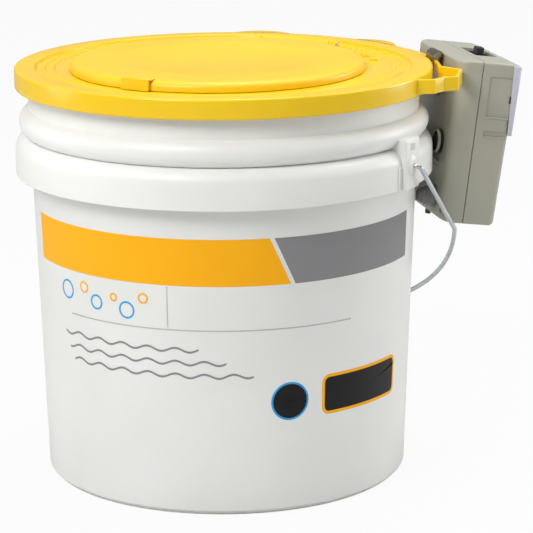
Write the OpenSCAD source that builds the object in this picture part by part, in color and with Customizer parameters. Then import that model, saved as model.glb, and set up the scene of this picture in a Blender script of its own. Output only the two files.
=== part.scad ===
// Aerated bait bucket: a round pail with a snap lid, a hinged hatch, a wire bail
// and a battery air pump that hangs on a loop of the lid by a spring clip.
// Origin: centre of the pail's base. +Z up. -Y is the side of the hatch's lift tab.
// The ears of the bail are on +X and -X.

/* [Pail] */
// Outer radius of the pail at the floor
base_r = 135.4; // [125:0.2:138]
// Outer radius of the pail wall just under the collar
wall_top_r = 143; // [141:0.2:144]
// Thickness of the pail's wall
pail_wall = 2.4; // [1.6:0.1:3]
// Thickness of the pail's floor
floor_t = 3.2; // [2:0.1:5]
// Height of the chamfer round the base
base_chamfer = 3.5; // [1:0.5:6]
// Height of the collar's lower edge
collar_z = 227.5; // [215:0.5:235]
// Height of the collar's upright face
collar_h = 18.8; // [14:0.2:22]
// Outer radius of the collar
collar_r = 155; // [152:0.2:156]
// Height of the slope from the collar up to the neck
slope_h = 10.2; // [8:0.2:12]
// Outer radius of the neck above and below the bead
neck_r = 145; // [144:0.2:147]
// Height of the bead that rings the neck
bead_h = 19.6; // [16:0.2:22]
// Amount the bead stands out from the neck
bead_out = 7; // [4:0.2:8]
// Height of the plain neck between the bead and the rim
neck_h = 19.5; // [17:0.5:21]
// Height of the rim's lip
rim_h = 8; // [6:0.5:10]
// Outer radius of the rim's lip
rim_r = 150.4; // [149:0.2:151]
// Number of ribs under the collar
collar_ribs = 24; // [12:4:36]
// Thickness of a rib under the collar
rib_t = 1.8; // [1.2:0.1:2.5]

/* [Ears and bail] */
// Width of each ear
ear_w = 21; // [18:1:26]
// Height of each ear above the collar's lower edge
ear_h = 37; // [34:1:40]
// Distance of each ear's outer face outside the collar
ear_out = 3; // [2:0.2:4]
// Height of the bail's pivot above the collar's lower edge
pivot_up = 17; // [14:0.5:20]
// Radius of the boss round each bail hole
ear_boss_r = 7; // [6:0.5:8]
// Amount the boss stands out from the ear
ear_boss_out = 1.6; // [1:0.2:2.4]
// Diameter of the bail's wire
wire_d = 3.4; // [2.8:0.1:4]
// Radial clearance of the wire in the ear's hole
pivot_clear = 0.08; // [0.02:0.01:0.1]
// Distance of the bail's straight legs outside the ears' faces
leg_out = 5.6; // [4:0.2:8]
// Length of each straight leg of the bail
leg_len = 81; // [78:1:84]
// Bend of the bail at each shoulder, in degrees
shoulder_deg = 20; // [16:1:22]
// Radius of the bail's long curve
sweep_r = 230; // [225:1:235]
// Direction of the bail where the long curve ends, in degrees
sweep_end_deg = 50; // [48:1:52]
// Angle of the hanging bail below the horizontal, in degrees
hang_deg = 45; // [42:0.5:45]
// Length of the bail's grip
grip_len = 88; // [80:1:92]
// Outer radius of the bail's grip
grip_r = 11.6; // [9:0.2:12]
// Radial clearance of the grip on the wire
grip_clear = 0.1; // [0.05:0.01:0.1]

/* [Lid] */
// Thickness of the lid
lid_t = 2.2; // [1.6:0.1:2.6]
// Clearance between the pail's lip and the lid's skirt
skirt_gap = 2; // [0.6:0.1:2.2]
// Height of the lid's skirt
skirt_h = 14.7; // [13:0.1:16]
// Height of the lid's rim above the pail's lip
lid_seat = 0.3; // [0.2:0.1:0.5]
// Depth of the lid's panel below its rim
panel_drop = 2.6; // [2:0.1:3.2]
// Width of the lid's flat rim
rim_w = 15.5; // [14:0.5:17]
// Radius of the opening under the hatch
opening_r = 96; // [90:1:99]
// Distance from the pail's axis to the hatch's middle
hatch_shift = 8; // [6:0.5:10]
// Outer radius of the hatch
hatch_r = 109; // [106:0.5:110]
// Height of the hatch above the lid's panel
hatch_h = 7.4; // [6:0.1:9]
// Thickness of the hatch's shell
hatch_t = 2; // [1.6:0.1:2.4]
// Width of the slope round the hatch's top
hatch_slope_w = 7; // [5:0.5:9]
// Gap between the hatch and the panel it closes on
hatch_gap = 0.3; // [0.2:0.1:0.5]
// Width of the hatch's lift tab
lift_tab_w = 23; // [18:1:28]
// Distance from the hatch's edge back to its hinge axis
hinge_back = 7; // [6:0.5:8]
// Radius of the hatch's hinge pin
hinge_pin_r = 2; // [1.5:0.1:2.2]
// Radial clearance of the hinge pin in the lid's lugs
hinge_clear = 0.08; // [0.02:0.01:0.1]
// Length of the hatch's hinge barrel
hinge_len = 60; // [50:1:70]
// Angle of each pull tab from the rear of the lid, in degrees
pull_tab_deg = 19.5; // [16:0.5:22]
// Width of each pull tab
pull_tab_w = 41; // [34:1:44]
// Amount a pull tab stands out from the lid
pull_tab_out = 9; // [7:0.5:12]

/* [Loop for the net handle and the clip] */
// Height of the loop's wall
loop_h = 10.5; // [9:0.1:11]
// Depth of the loop's top below the lid's rim
loop_drop = 2; // [1.5:0.1:3]
// Thickness of the loop's wall
loop_t = 2.6; // [2.2:0.1:2.8]
// Distance of the clip's wall outside the pail's collar
loop_out = 3.5; // [3.3:0.1:3.8]

/* [Air pump] */
// Direction of the pump round the pail, in degrees from the lift tab
pump_az = 133.5; // [132:0.5:135]
// Lean of the pump away from the pail, in degrees
pump_lean = 7.2; // [6.6:0.1:7.6]
// Distance of the parting line's foot outside the clip's wall
pump_stand = 10.7; // [10.3:0.1:11.5]
// Height of the pump's foot
pump_z = 186.4; // [184:0.2:188]
// Width of the pump's case
case_w = 110; // [106:1:116]
// Height of the pump's case
case_h = 122.4; // [120:0.2:125]
// Depth of the back case at its foot
back_foot = 16.2; // [15.6:0.1:16.6]
// Depth of the back case at its top
back_top = 18.6; // [18:0.1:19]
// Depth of the front case at its foot
front_foot = 25; // [24:0.1:27]
// Depth of the front case at its top
front_top = 28; // [26:0.1:30]
// Thickness of the case's walls
case_wall = 2.2; // [1.8:0.1:2.4]
// Radius of the back case's upright edges
back_edge_r = 9; // [6:0.5:11]
// Radius of the front case's upright edges
front_edge_r = 5; // [3:0.5:7]
// Chamfer round the case's top and foot
case_chamfer = 2.4; // [1.5:0.1:3]
// Thickness of the grey front panel
panel_t = 2.2; // [1.6:0.1:2.6]
// Height on the case at which the front panel starts
panel_from = 69; // [67:0.5:72]
// Margin of the front panel below the case's top
panel_margin = 1; // [0.5:0.5:4]
// Depth to which the panel wraps round the case's sides at its foot
panel_wrap_foot = 1.5; // [1:0.1:3]
// Depth to which the panel wraps round the case's sides at its top
panel_wrap_top = 6.4; // [4:0.2:8]
// Thickness of the panel where it wraps round the sides
panel_side_t = 0.9; // [0.7:0.1:1.2]

/* [Spring clip and bumpers] */
// Width of the spring clip's strip
clip_w = 17.6; // [16:0.2:20]
// Sideways place of the clip on the case, off the case's middle
clip_x = -7; // [-9:0.5:9]
// Thickness of the strip
clip_t = 1; // [0.8:0.1:1.2]
// Inner width of the clip's arch
clip_gap = 6.8; // [6.6:0.1:7]
// Length of the clip's inner leg
clip_leg = 24; // [20:0.5:26]
// Height of the case's top above the middle of the clip's arch
clip_drop = 4.2; // [3.6:0.1:5]
// Length of the clip's riveted leg
clip_back_leg = 29; // [27:0.5:31]
// Radius of the clip's rivets
rivet_r = 2.4; // [1.8:0.1:2.8]
// Sideways distance of each bumper from the pump's middle
bumper_side = 29; // [27:0.5:31]
// Radius of a bumper's flange
bumper_r = 9; // [7:0.5:9.5]
// Height of the upper bumpers on the case
upper_bumper_up = 57; // [56:0.5:60]
// Height of the lower bumpers on the case
lower_bumper_up = 15; // [13:0.5:16]
// Radius of a bumper's tip
bumper_tip_r = 5; // [4:0.5:6]
// Thickness of a bumper's flange
bumper_flange_t = 2.5; // [1.5:0.1:3]
// Gap between a bumper's tip and the pail
bumper_gap = 0.3; // [0.2:0.1:0.6]

/* [Switch and battery door] */
// Width of the recess round the switch
recess_w = 40; // [36:1:44]
// Depth of the recess round the switch
recess_deep = 5; // [4:0.5:6]
// Length of the switch's knob along its travel
knob_len = 8; // [7:0.5:9]
// Width of the switch's knob
knob_w = 6.4; // [5:0.2:8]
// Height of the knob above the recess's floor
knob_h = 9; // [8:0.5:10]
// Travel of the switch's knob
knob_travel = 4; // [3:0.5:5]
// Width of the battery door
door_w = 84; // [80:1:90]
// Height of the battery door
door_h = 62; // [58:0.5:63]
// Thickness of the battery door
door_t = 2; // [1.6:0.1:2.2]
// Gap round the battery door
door_gap = 0.3; // [0.2:0.1:0.5]

/* [Inside the pump] */
// Radius of a battery
cell_r = 16.6; // [16:0.1:17]
// Length of a battery
cell_len = 61.5; // [60:0.1:61.5]
// Gap between the two batteries
cell_gap = 1.6; // [1:0.1:3]
// Radius of the motor
motor_r = 12; // [10:0.5:12.5]
// Length of the motor
motor_len = 30; // [27:0.5:32]
// Radius of the motor's shaft
shaft_r = 1; // [0.8:0.1:1.5]
// Throw of the eccentric on the motor's shaft
throw = 1.2; // [0.8:0.1:1.5]
// Radius of the diaphragm
diaphragm_r = 12; // [10:0.5:13]
// Height of the air chamber
chamber_h = 12; // [10:0.5:13]
// Outer radius of the air tube
tube_r = 3; // [2.5:0.1:3.5]
// Bore radius of the air tube
tube_bore = 1.6; // [1.2:0.1:2]
// Length of the outlet barb below the case
barb_len = 12; // [10:0.5:16]
// Outer radius of the outlet barb
barb_r = 2.4; // [2:0.1:2.8]
// Length of the outlet barb's tapered tip
barb_lead = 1; // [0.6:0.1:1.6]
// Thickness of the outlet's flange under the case
outlet_flange_t = 1.5; // [1:0.1:2.5]
// Root between the hose outlet's flange and its stem
outlet_root = 0.4; // [0.2:0.1:0.8]

/* [Hidden] */
$fn = 64;
eps = 0.01;

// Levels of the pail
z_collar_top = collar_z + collar_h;
z_slope_top = z_collar_top + slope_h;
z_bead = z_slope_top + bead_h / 2;
z_rim = z_slope_top + bead_h + neck_h + rim_h;
z_pivot = collar_z + pivot_up;
neck_in = neck_r - pail_wall;
// The bead is an arc as high as bead_h that stands bead_out from the neck
bead_arc = (pow(bead_h / 2, 2) + pow(bead_out, 2)) / (2 * bead_out);
bead_mid = neck_r + bead_out - bead_arc;
// Height in which the wall widens into the neck, hidden by the collar
step_h = 4;
curve_steps = 6;

// Levels and radii of the lid
z_lid = z_rim + lid_seat + lid_t;
z_panel = z_lid - panel_drop;
ear_r = collar_r + ear_out;
leg_x = ear_r + leg_out;
clip_wall_r = collar_r + loop_out;
pump_r = clip_wall_r + pump_stand;
// distances of the net loop's corners outside the clip's wall
net_out = [5.9, 9.1, 18, 16.6];
lid_r = rim_r + skirt_gap + lid_t;
rim_in = lid_r - rim_w;
plug_gap = 0.6;
plug_r = neck_in - plug_gap;
plug_h = 8;
snap_gap = 0.5;
snap_h = 2;
coaming_h = 3.4;
ring_w = 2;
ring_h = 0.9;
ring_radii = [rim_in - 6, rim_in - 13];

// Hatch and its hinge
z_hatch = z_panel + hatch_gap;
hatch_side_h = 3;
hinge_r = hinge_pin_r + 1.4;
hinge_y = -hatch_shift + hatch_r + hinge_back;
hinge_z = z_hatch + hinge_r;
lug_w = 6;
lug_gap = 0.4;
pin_gap = 0.6;
stop_lug_az = [133.5, 143.5, 153.5];

// Bail, drawn in its own plane: x across the pail, y away from the pivots
wire_r = wire_d / 2;
// The bent parts of the wire have flat sides and stay just inside its round pins
wire_core = wire_r - 0.02;
wire_sides = 20;
ear_plate = 4;
ear_wall = 2.4;
elbow_r = 3.8;
shoulder_r = 8;
grip_bend_r = 14;
head_r = 2.7;
head_t = 1.6;
head_x = ear_r - ear_plate - head_t - 0.4;
// The shoulder's elbow starts before the corner of its two legs and ends as far past it
shoulder_cut = shoulder_r * tan(shoulder_deg / 2);
sweep_mid_x = leg_x - shoulder_cut * sin(shoulder_deg) - sweep_r * cos(shoulder_deg);
sweep_mid_y = leg_len + shoulder_cut * cos(shoulder_deg) - sweep_r * sin(shoulder_deg);
sweep_x = sweep_mid_x + sweep_r * cos(sweep_end_deg);
sweep_y = sweep_mid_y + sweep_r * sin(sweep_end_deg);
seat_x = grip_len / 2 + 4.3;
line_x = seat_x + grip_bend_r * cos(sweep_end_deg);
line_len = (sweep_x - line_x) / sin(sweep_end_deg);
bail_len = sweep_y + line_len * cos(sweep_end_deg) + grip_bend_r * (1 - sin(sweep_end_deg));

// Loop of the lid: [distance from the axis, direction] of the middle of its wall
z_loop = z_lid - loop_drop - loop_h;
clip_wall_mid = clip_wall_r + loop_t / 2;
loop_in = lid_r - lid_t / 2;
wing_deg = 16;
loop_near = [[loop_in, pump_az - 38.2], [clip_wall_r + net_out[0], pump_az - 36.1],
    [clip_wall_r + net_out[1], pump_az - 32], [clip_wall_r + net_out[2], pump_az - 29.6],
    [clip_wall_r + net_out[3], pump_az - 19.4], [clip_wall_mid, pump_az - wing_deg + 1]];
loop_far = [[clip_wall_mid, pump_az + wing_deg - 1], [loop_in, pump_az + wing_deg + 3]];

// Pump: its own frame has the parting line at y = 0, the pail on +y and its foot at z = 0
front_draft = atan((front_top - front_foot) / case_h);
inner_w = case_w - 2 * case_wall;
screw_x = case_w / 2 - 7.5;
screw_z = [9, case_h - 10.5];
screw_r = 1.4;
screw_bore = 1.5;
screw_pass = 1.7;
screw_head_r = 2.8;
screw_head_t = 1.6;
boss_r = 3.5;
side_panel_z = [81.5, 112];
side_groove_z = [67, 71.5];
side_panel_y = [-24.6, -6.4];
side_recess = 0.9;

// Gap under a piece that is fixed flat on the case
fixed_gap = 0.05;
front_slope = (front_top - front_foot) / case_h;
panel_top = case_h - panel_margin;

// Clip on the back face
clip_y = back_top;
arch_r = clip_gap / 2;
arch_y = clip_y + clip_t + arch_r;
arch_z = case_h - clip_drop;
rivet_x = 5;
rivet_z = arch_z - clip_back_leg + 5;
rivet_head_t = 1;

// Switch recess
recess_y = [-21.5, -4.5];
switch_y = (recess_y[0] + recess_y[1]) / 2;
switch_z = case_h - recess_deep;
slot_gap = 0.3;
switch_l = 20;
switch_w = 9.4;
switch_h = 10;

// Batteries stand on springs under a shelf of the back case
cell_y = back_foot - case_wall - 0.4 - cell_r;
cell_x = cell_r + cell_gap / 2;
spring_h = 6;
cell_z = case_wall + spring_h;
nub_r = 4.5;
nub_h = 1.5;
plate_t = 0.8;
shelf_z = cell_z + cell_len + plate_t + 0.4;
shelf_t = 2;
shelf_y = [-19, 14];
spring_r = 5;
spring_wire = 0.5;
spring_turns = 3;
coil_steps = 12 * spring_turns;

// Air pump works
motor_y = -4;
motor_x = [-39.5, -9.5];
motor_z = shelf_z + shelf_t + motor_r + 10;
seat_gap = 0.1;
ecc_r = 5;
ecc_x = [1, 6];
follow_gap = 0.4;
arm_t = 3.4;
arm_w = 8;
arm_z = motor_z + ecc_r + throw + follow_gap;
arm_x = [0, 37];
pivot_x = 15;
pivot_pin_r = 1.5;
pivot_gap = 0.08;
chamber_x = 33;
chamber_z = shelf_z + shelf_t;
diaphragm_z = chamber_z + chamber_h;
diaphragm_h = 6;
stud_r = 2.5;
stud_gap = 0.3;
tube_x = 39.5;
cheek_t = 2;
cheek_gap = 0.5;

// Places its children on the side of the pail at the given direction,
// with -y pointing outwards
module at_az(a) rotate([0, 0, a]) children();

// A point of a plan given as [distance from the axis, direction]
function plan(p) = [p[0] * sin(p[1]), -p[0] * cos(p[1])];

// Quarter ellipse from [rx, 0] to [0, ry]
function quarter(rx, ry) =
    [for (i = [0 : curve_steps]) [rx * cos(90 * i / curve_steps), ry * sin(90 * i / curve_steps)]];
function shifted(points, dx, dy) = [for (p = points) [p[0] + dx, p[1] + dy]];
function flipped(points) = [for (i = [len(points) - 1 : -1 : 0]) points[i]];

// Rounded rectangle, centred on x and y
module rounded_rect(w, d, r) {
    square([w - 2 * r, d], center = true);
    square([w, d - 2 * r], center = true);
    for (sx = [-1, 1], sy = [-1, 1])
        translate([sx * (w / 2 - r), sy * (d / 2 - r)]) circle(r);
}

// Corner i of a wall's side, dist to the left of a path of x-y points
function heading(path, i) = (path[i + 1] - path[i]) / norm(path[i + 1] - path[i]);
function left_of(v) = [-v[1], v[0]];
function mitre(path, i) = let (n = len(path),
    v1 = left_of(heading(path, max(i - 1, 0))), v2 = left_of(heading(path, min(i, n - 2))))
    (v1 + v2) / (1 + v1 * v2);
function side(path, dist) = [for (i = [0 : len(path) - 1]) path[i] + dist * mitre(path, i)];

// An upright wall through the points of a plan
module plan_wall(points, t, h) {
    path = [for (p = points) plan(p)];
    linear_extrude(h) polygon(concat(side(path, t / 2), flipped(side(path, -t / 2))));
}

// A polygon of [y, z] points drawn out to width w along x
module across(w, points)
    rotate([90, 0, 90]) linear_extrude(w, center = true) polygon(points);

// A bore or pin along x from x0 to x1
module along_x(x0, x1, r) translate([x0, 0, 0]) rotate([0, 90, 0]) cylinder(r = r, h = x1 - x0);

// A bore or pin along y from y0 to y1
module along_y(y0, y1, r) translate([0, y0, 0]) rotate([-90, 0, 0]) cylinder(r = r, h = y1 - y0);

// Pail

module pail_outside() {
    rotate_extrude($fn = 180) polygon([[0, 0], [base_r - base_chamfer, 0], [base_r, base_chamfer],
        [wall_top_r, collar_z], [neck_r, collar_z + step_h], [neck_r, z_rim], [0, z_rim]]);
    rotate_extrude($fn = 180) translate([bead_mid, z_bead]) circle(bead_arc);
}

module pail_inside() {
    rotate_extrude($fn = 180) polygon([[0, floor_t], [base_r - pail_wall, floor_t],
        [wall_top_r - pail_wall, collar_z], [neck_in, collar_z + step_h],
        [neck_in, z_rim + 1], [0, z_rim + 1]]);
    rotate_extrude($fn = 180) translate([bead_mid, z_bead]) circle(bead_arc - pail_wall);
}

module collar() {
    out = collar_r - neck_r;
    rotate_extrude($fn = 180) polygon(concat(
        [[neck_r - 1, z_slope_top]],
        flipped(shifted(quarter(out, slope_h), neck_r, z_collar_top)),
        [[collar_r, collar_z], [collar_r - pail_wall, collar_z]],
        shifted(quarter(out - pail_wall, slope_h - pail_wall), neck_r, z_collar_top),
        [[neck_r - 1, z_slope_top - pail_wall]]));
}

module rim_lip()
    rotate_extrude($fn = 180) polygon([[neck_r - 1, z_rim], [rim_r, z_rim], [rim_r, z_rim - rim_h],
        [rim_r - pail_wall, z_rim - rim_h], [rim_r - pail_wall, z_rim - pail_wall],
        [neck_r - 1, z_rim - pail_wall]]);

module collar_rib() {
    rib_in = wall_top_r + 0.5;
    translate([-rib_t / 2, -collar_r + pail_wall / 2, collar_z + 1])
        cube([rib_t, collar_r - pail_wall / 2 - rib_in, collar_h]);
}

module ear() {
    difference() {
        union() {
            translate([neck_in + 1, -ear_w / 2, collar_z]) cube([ear_r - neck_in - 1, ear_w, ear_h]);
            translate([0, 0, z_pivot]) along_x(ear_r - 1, ear_r + ear_boss_out, ear_boss_r);
        }
        translate([neck_r, -ear_w / 2 + ear_wall, collar_z - 1])
            cube([ear_r - ear_plate - neck_r, ear_w - 2 * ear_wall, ear_h + 1 - ear_wall]);
        translate([0, 0, z_pivot]) along_x(neck_in, ear_r + ear_boss_out + 1, wire_r + pivot_clear);
        pail_inside();
    }
}

module pail() color([0.93, 0.93, 0.91]) {
    difference() {
        pail_outside();
        pail_inside();
    }
    difference() {
        union() {
            collar();
            for (i = [0 : collar_ribs - 1])
                at_az((i + 0.5) * 360 / collar_ribs) collar_rib();
        }
        for (s = [0, 180]) rotate([0, 0, s])
            translate([neck_r, -ear_w / 2, collar_z - 1]) cube([ear_r, ear_w, ear_h]);
    }
    rim_lip();
    for (s = [0, 180]) rotate([0, 0, s]) ear();
}

// Bail

// Corners of the bail's path as [x, y, heading]: a bend to the left round a middle point
function bend(x, y, r, h0, h1, n) = [for (i = [0 : n]) let (h = h0 + (h1 - h0) * i / n)
    [x + r * sin(h), y - r * cos(h), h]];
function mirrored(path) = [for (p = flipped(path)) [-p[0], p[1], 360 - p[2]]];
function wire_ring(p) = [for (k = [0 : wire_sides - 1]) let (a = 360 * k / wire_sides)
    [p[0] + wire_core * cos(a) * sin(p[2]), p[1] - wire_core * cos(a) * cos(p[2]), wire_core * sin(a)]];

bail_side = concat(
    [[head_x + head_t / 2, 0, 0]],
    bend(leg_x - elbow_r, elbow_r, elbow_r, 0, 90, 6),
    bend(leg_x - shoulder_r, leg_len - shoulder_cut, shoulder_r, 90, 90 + shoulder_deg, 2),
    bend(sweep_mid_x, sweep_mid_y, sweep_r, 90 + shoulder_deg, 90 + sweep_end_deg, 8),
    bend(seat_x, bail_len - grip_bend_r, grip_bend_r, 90 + sweep_end_deg, 180, 4));

// A solid skinned over rings of points, all of one length
module skinned(rings) {
    n = len(rings) - 1;
    m = len(rings[0]);
    polyhedron(points = [for (ring = rings) each ring],
        faces = concat([[for (k = [m - 1 : -1 : 0]) k]], [[for (k = [0 : m - 1]) n * m + k]],
            [for (i = [0 : n - 1], k = [0 : m - 1]) each [
                [i * m + k, i * m + (k + 1) % m, (i + 1) * m + k],
                [(i + 1) * m + k, i * m + (k + 1) % m, (i + 1) * m + (k + 1) % m]]]));
}

module bail_plane() translate([0, 0, z_pivot]) rotate([-hang_deg, 0, 0]) children();

module bail_wire() color([0.66, 0.69, 0.71]) bail_plane() {
    skinned([for (p = concat(bail_side, mirrored(bail_side))) wire_ring(p)]);
    // round pins through the ears, each with an upset head inside, and the grip's seat
    for (s = [0, 180]) rotate([0, s, 0]) {
        along_x(head_x, leg_x - elbow_r, wire_r);
        along_x(head_x, head_x + head_t, head_r);
    }
    translate([0, bail_len, 0]) along_x(-seat_x, seat_x, wire_r);
}

module bail_grip() color([0.93, 0.93, 0.91]) bail_plane() translate([0, bail_len, 0])
    rotate([0, 90, 0]) difference() {
        union() {
            cylinder(r = grip_r - 1.5, h = grip_len, center = true);
            for (i = [0 : 4]) translate([0, 0, (i - 2) * grip_len / 5])
                cylinder(r = grip_r, h = grip_len / 5 - 3, center = true);
            for (s = [-1, 1]) translate([0, 0, s * (grip_len / 2 - 1)])
                cylinder(r = grip_r, h = 2, center = true);
        }
        cylinder(r = wire_r + grip_clear, h = grip_len + 1, center = true);
    }

// Lid

module lid_section() polygon([[0, z_panel], [rim_in, z_panel], [rim_in, z_lid], [lid_r, z_lid],
    [lid_r, z_lid - skirt_h], [rim_r + snap_gap, z_lid - skirt_h],
    [rim_r + snap_gap, z_lid - skirt_h + snap_h / 2], [lid_r - lid_t, z_lid - skirt_h + snap_h],
    [lid_r - lid_t, z_lid - lid_t], [plug_r, z_lid - lid_t], [plug_r, z_lid - plug_h],
    [plug_r - lid_t, z_lid - plug_h], [plug_r - lid_t, z_panel - lid_t], [0, z_panel - lid_t]]);

module pull_tab() {
    tab_r = (pow(pull_tab_w / 2, 2) + pow(pull_tab_out, 2)) / (2 * pull_tab_out);
    difference() {
        translate([0, -(lid_r + pull_tab_out - tab_r), z_lid - lid_t]) cylinder(r = tab_r, h = lid_t);
        translate([0, 0, z_lid - lid_t - 1]) cylinder(r = lid_r - 1, h = lid_t + 2, $fn = 180);
    }
}

module hinge_lug(s) translate([s * (hinge_len / 2 + lug_gap + lug_w / 2), hinge_y, 0]) difference() {
    union() {
        translate([-lug_w / 2, -hinge_r, z_panel - 1]) cube([lug_w, 2 * hinge_r, hinge_z - z_panel + 1]);
        translate([0, 0, hinge_z]) along_x(-lug_w / 2, lug_w / 2, hinge_r);
    }
    translate([0, 0, hinge_z]) along_x(-lug_w, lug_w, hinge_pin_r + hinge_clear);
}

module stop_lug(a) at_az(a) translate([-5, -(hatch_r + 7.5), z_panel - 0.5]) cube([10, 4, 2.6]);

module clip_wall_arc() intersection() {
    rotate_extrude($fn = 180) translate([clip_wall_r, z_loop]) square([loop_t, loop_h]);
    linear_extrude(2 * z_lid) polygon([[0, 0], 2 * plan([lid_r, pump_az - wing_deg]),
        3 * plan([lid_r, pump_az]), 2 * plan([lid_r, pump_az + wing_deg])]);
}

module lid() color([0.98, 0.83, 0.2]) {
    difference() {
        union() {
            rotate_extrude($fn = 180) lid_section();
            for (r = ring_radii) rotate_extrude($fn = 180)
                translate([r - ring_w / 2, z_panel - eps]) square([ring_w, ring_h]);
            translate([0, -hatch_shift, z_panel - lid_t])
                cylinder(r = opening_r + lid_t, h = lid_t + coaming_h, $fn = 180);
        }
        translate([0, -hatch_shift, z_panel - lid_t - 1])
            cylinder(r = opening_r, h = lid_t + coaming_h + 2, $fn = 180);
    }
    for (s = [-1, 1]) {
        at_az(180 + s * pull_tab_deg) pull_tab();
        hinge_lug(s);
        for (a = stop_lug_az) stop_lug(s * a);
    }
    difference() {
        union() {
            translate([0, 0, z_loop]) plan_wall(loop_near, loop_t, loop_h);
            translate([0, 0, z_loop]) plan_wall(loop_far, loop_t, loop_h);
            clip_wall_arc();
        }
        translate([0, 0, z_loop - 1]) cylinder(r = lid_r - lid_t + 0.2, h = loop_h + 2, $fn = 180);
    }
}

// Hatch

module hatch_section() {
    top_r = hatch_r - hatch_slope_w;
    polygon(concat(
        [[0, hatch_h]],
        flipped(shifted(quarter(hatch_slope_w, hatch_h - hatch_side_h), top_r, hatch_side_h)),
        [[hatch_r, 0], [hatch_r - hatch_t, 0]],
        shifted(quarter(hatch_slope_w - hatch_t, hatch_h - hatch_side_h - hatch_t), top_r, hatch_side_h),
        [[0, hatch_h - hatch_t]]));
}

module hatch() color([0.98, 0.83, 0.2]) difference() {
    union() {
        translate([0, -hatch_shift, z_hatch]) rotate_extrude($fn = 180) hatch_section();
        // lift tab on the front edge
        translate([-lift_tab_w / 2, -hatch_shift - hatch_r - 3, z_hatch])
            cube([lift_tab_w, 4.4, hatch_h + 1.4]);
        // arm and barrel of the hinge
        translate([-hinge_len / 2, hinge_y - hinge_back - 3, z_hatch])
            cube([hinge_len, hinge_back + 3, 2.6]);
        translate([0, hinge_y, hinge_z]) along_x(-hinge_len / 2, hinge_len / 2, hinge_r);
    }
    translate([0, hinge_y, hinge_z])
        along_x(-hinge_len / 2 - 1, hinge_len / 2 + 1, hinge_pin_r + hinge_clear);
}

module hatch_hinge_pin() color([0.75, 0.76, 0.78]) translate([0, hinge_y, hinge_z])
    along_x(-hinge_len / 2 - lug_gap - lug_w - pin_gap, hinge_len / 2 + lug_gap + lug_w + pin_gap,
        hinge_pin_r);

// Pump case

module pump_frame()
    at_az(pump_az) translate([0, -pump_r, pump_z]) rotate([pump_lean, 0, 0]) children();

// One half of the case, from the parting plane out to its outer face on +y.
// cut is taken off every outer face, so the same shape makes the hollow.
module half_case(foot, top, edge_r, cut) {
    w = case_w - 2 * cut;
    r = edge_r - min(cut, edge_r - 1);
    c = case_chamfer;
    far = max(foot, top) - cut;
    // depth of the outer face at height z
    slope = (top - foot) / case_h;
    z0 = cut;
    z1 = case_h - cut;
    y0 = foot - cut + slope * (z0 + c);
    y1 = foot - cut + slope * (z1 - c);
    intersection() {
        translate([0, 0, z0]) linear_extrude(z1 - z0) {
            translate([-w / 2, 0]) square([w, far - r]);
            translate([-w / 2 + r, 0]) square([w - 2 * r, far]);
            for (s = [-1, 1]) translate([s * (w / 2 - r), far - r]) circle(r);
        }
        across(case_w, [[0, z0], [y0 - c, z0], [y0, z0 + c], [y1, z1 - c], [y1 - c, z1], [0, z1]]);
        rotate([90, 0, 0]) linear_extrude(2 * case_w, center = true) polygon([
            [-w / 2 + c, z0], [w / 2 - c, z0], [w / 2, z0 + c], [w / 2, z1 - c],
            [w / 2 - c, z1], [-w / 2 + c, z1], [-w / 2, z1 - c], [-w / 2, z0 + c]]);
    }
}

module screw_places() for (s = [-1, 1], z = screw_z) translate([s * screw_x, 0, z]) children();

// Depth of the back face at height z
function back_at(z) = back_foot + (back_top - back_foot) * z / case_h;

module pump_back_case() color([0.86, 0.85, 0.79]) pump_frame() difference() {
    union() {
        difference() {
            half_case(back_foot, back_top, back_edge_r, 0);
            translate([0, -eps, 0]) half_case(back_foot, back_top, back_edge_r, case_wall);
        }
        screw_places() along_y(0, back_foot - case_wall / 2, boss_r);
        // shelf over the batteries
        translate([-inner_w / 2 + 0.3, 0, shelf_z]) cube([inner_w - 0.6, back_foot - 1, shelf_t]);
        translate([-inner_w / 2 + 1, shelf_y[0], shelf_z]) cube([inner_w - 2, -shelf_y[0], shelf_t]);
    }
    screw_places() {
        along_y(-1, back_top + 1, screw_pass);
        translate([0, back_foot - screw_head_t - 0.4, 0]) along_y(0, 9, screw_head_r + 0.2);
    }
    for (s = [-1, 1]) translate([clip_x + s * rivet_x, 0, rivet_z])
        along_y(back_foot - case_wall - 2, back_top + 1, rivet_r - 0.5);
    translate([tube_x, cell_y, shelf_z - 1]) cylinder(r = tube_r + 0.3, h = shelf_t + 2);
}

module side_recesses() for (s = [-1, 1]) {
    for (z = [side_panel_z, side_groove_z])
        translate([s * case_w / 2, (side_panel_y[0] + side_panel_y[1]) / 2, (z[0] + z[1]) / 2])
            rotate([0, 90, 0]) linear_extrude(2 * side_recess, center = true)
                rounded_rect(z[1] - z[0], side_panel_y[1] - side_panel_y[0], 1.6);
}

// The region of the battery door in the front wall, grown by g
module door_region(g) translate([0, -front_foot, 0]) rotate([front_draft, 0, 0])
    translate([-door_w / 2 - g, -1, -4]) cube([door_w + 2 * g, 1 + door_t + g, door_h + 4 + g]);

module front_solid(cut) mirror([0, 1, 0]) half_case(front_foot, front_top, front_edge_r, cut);

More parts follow.
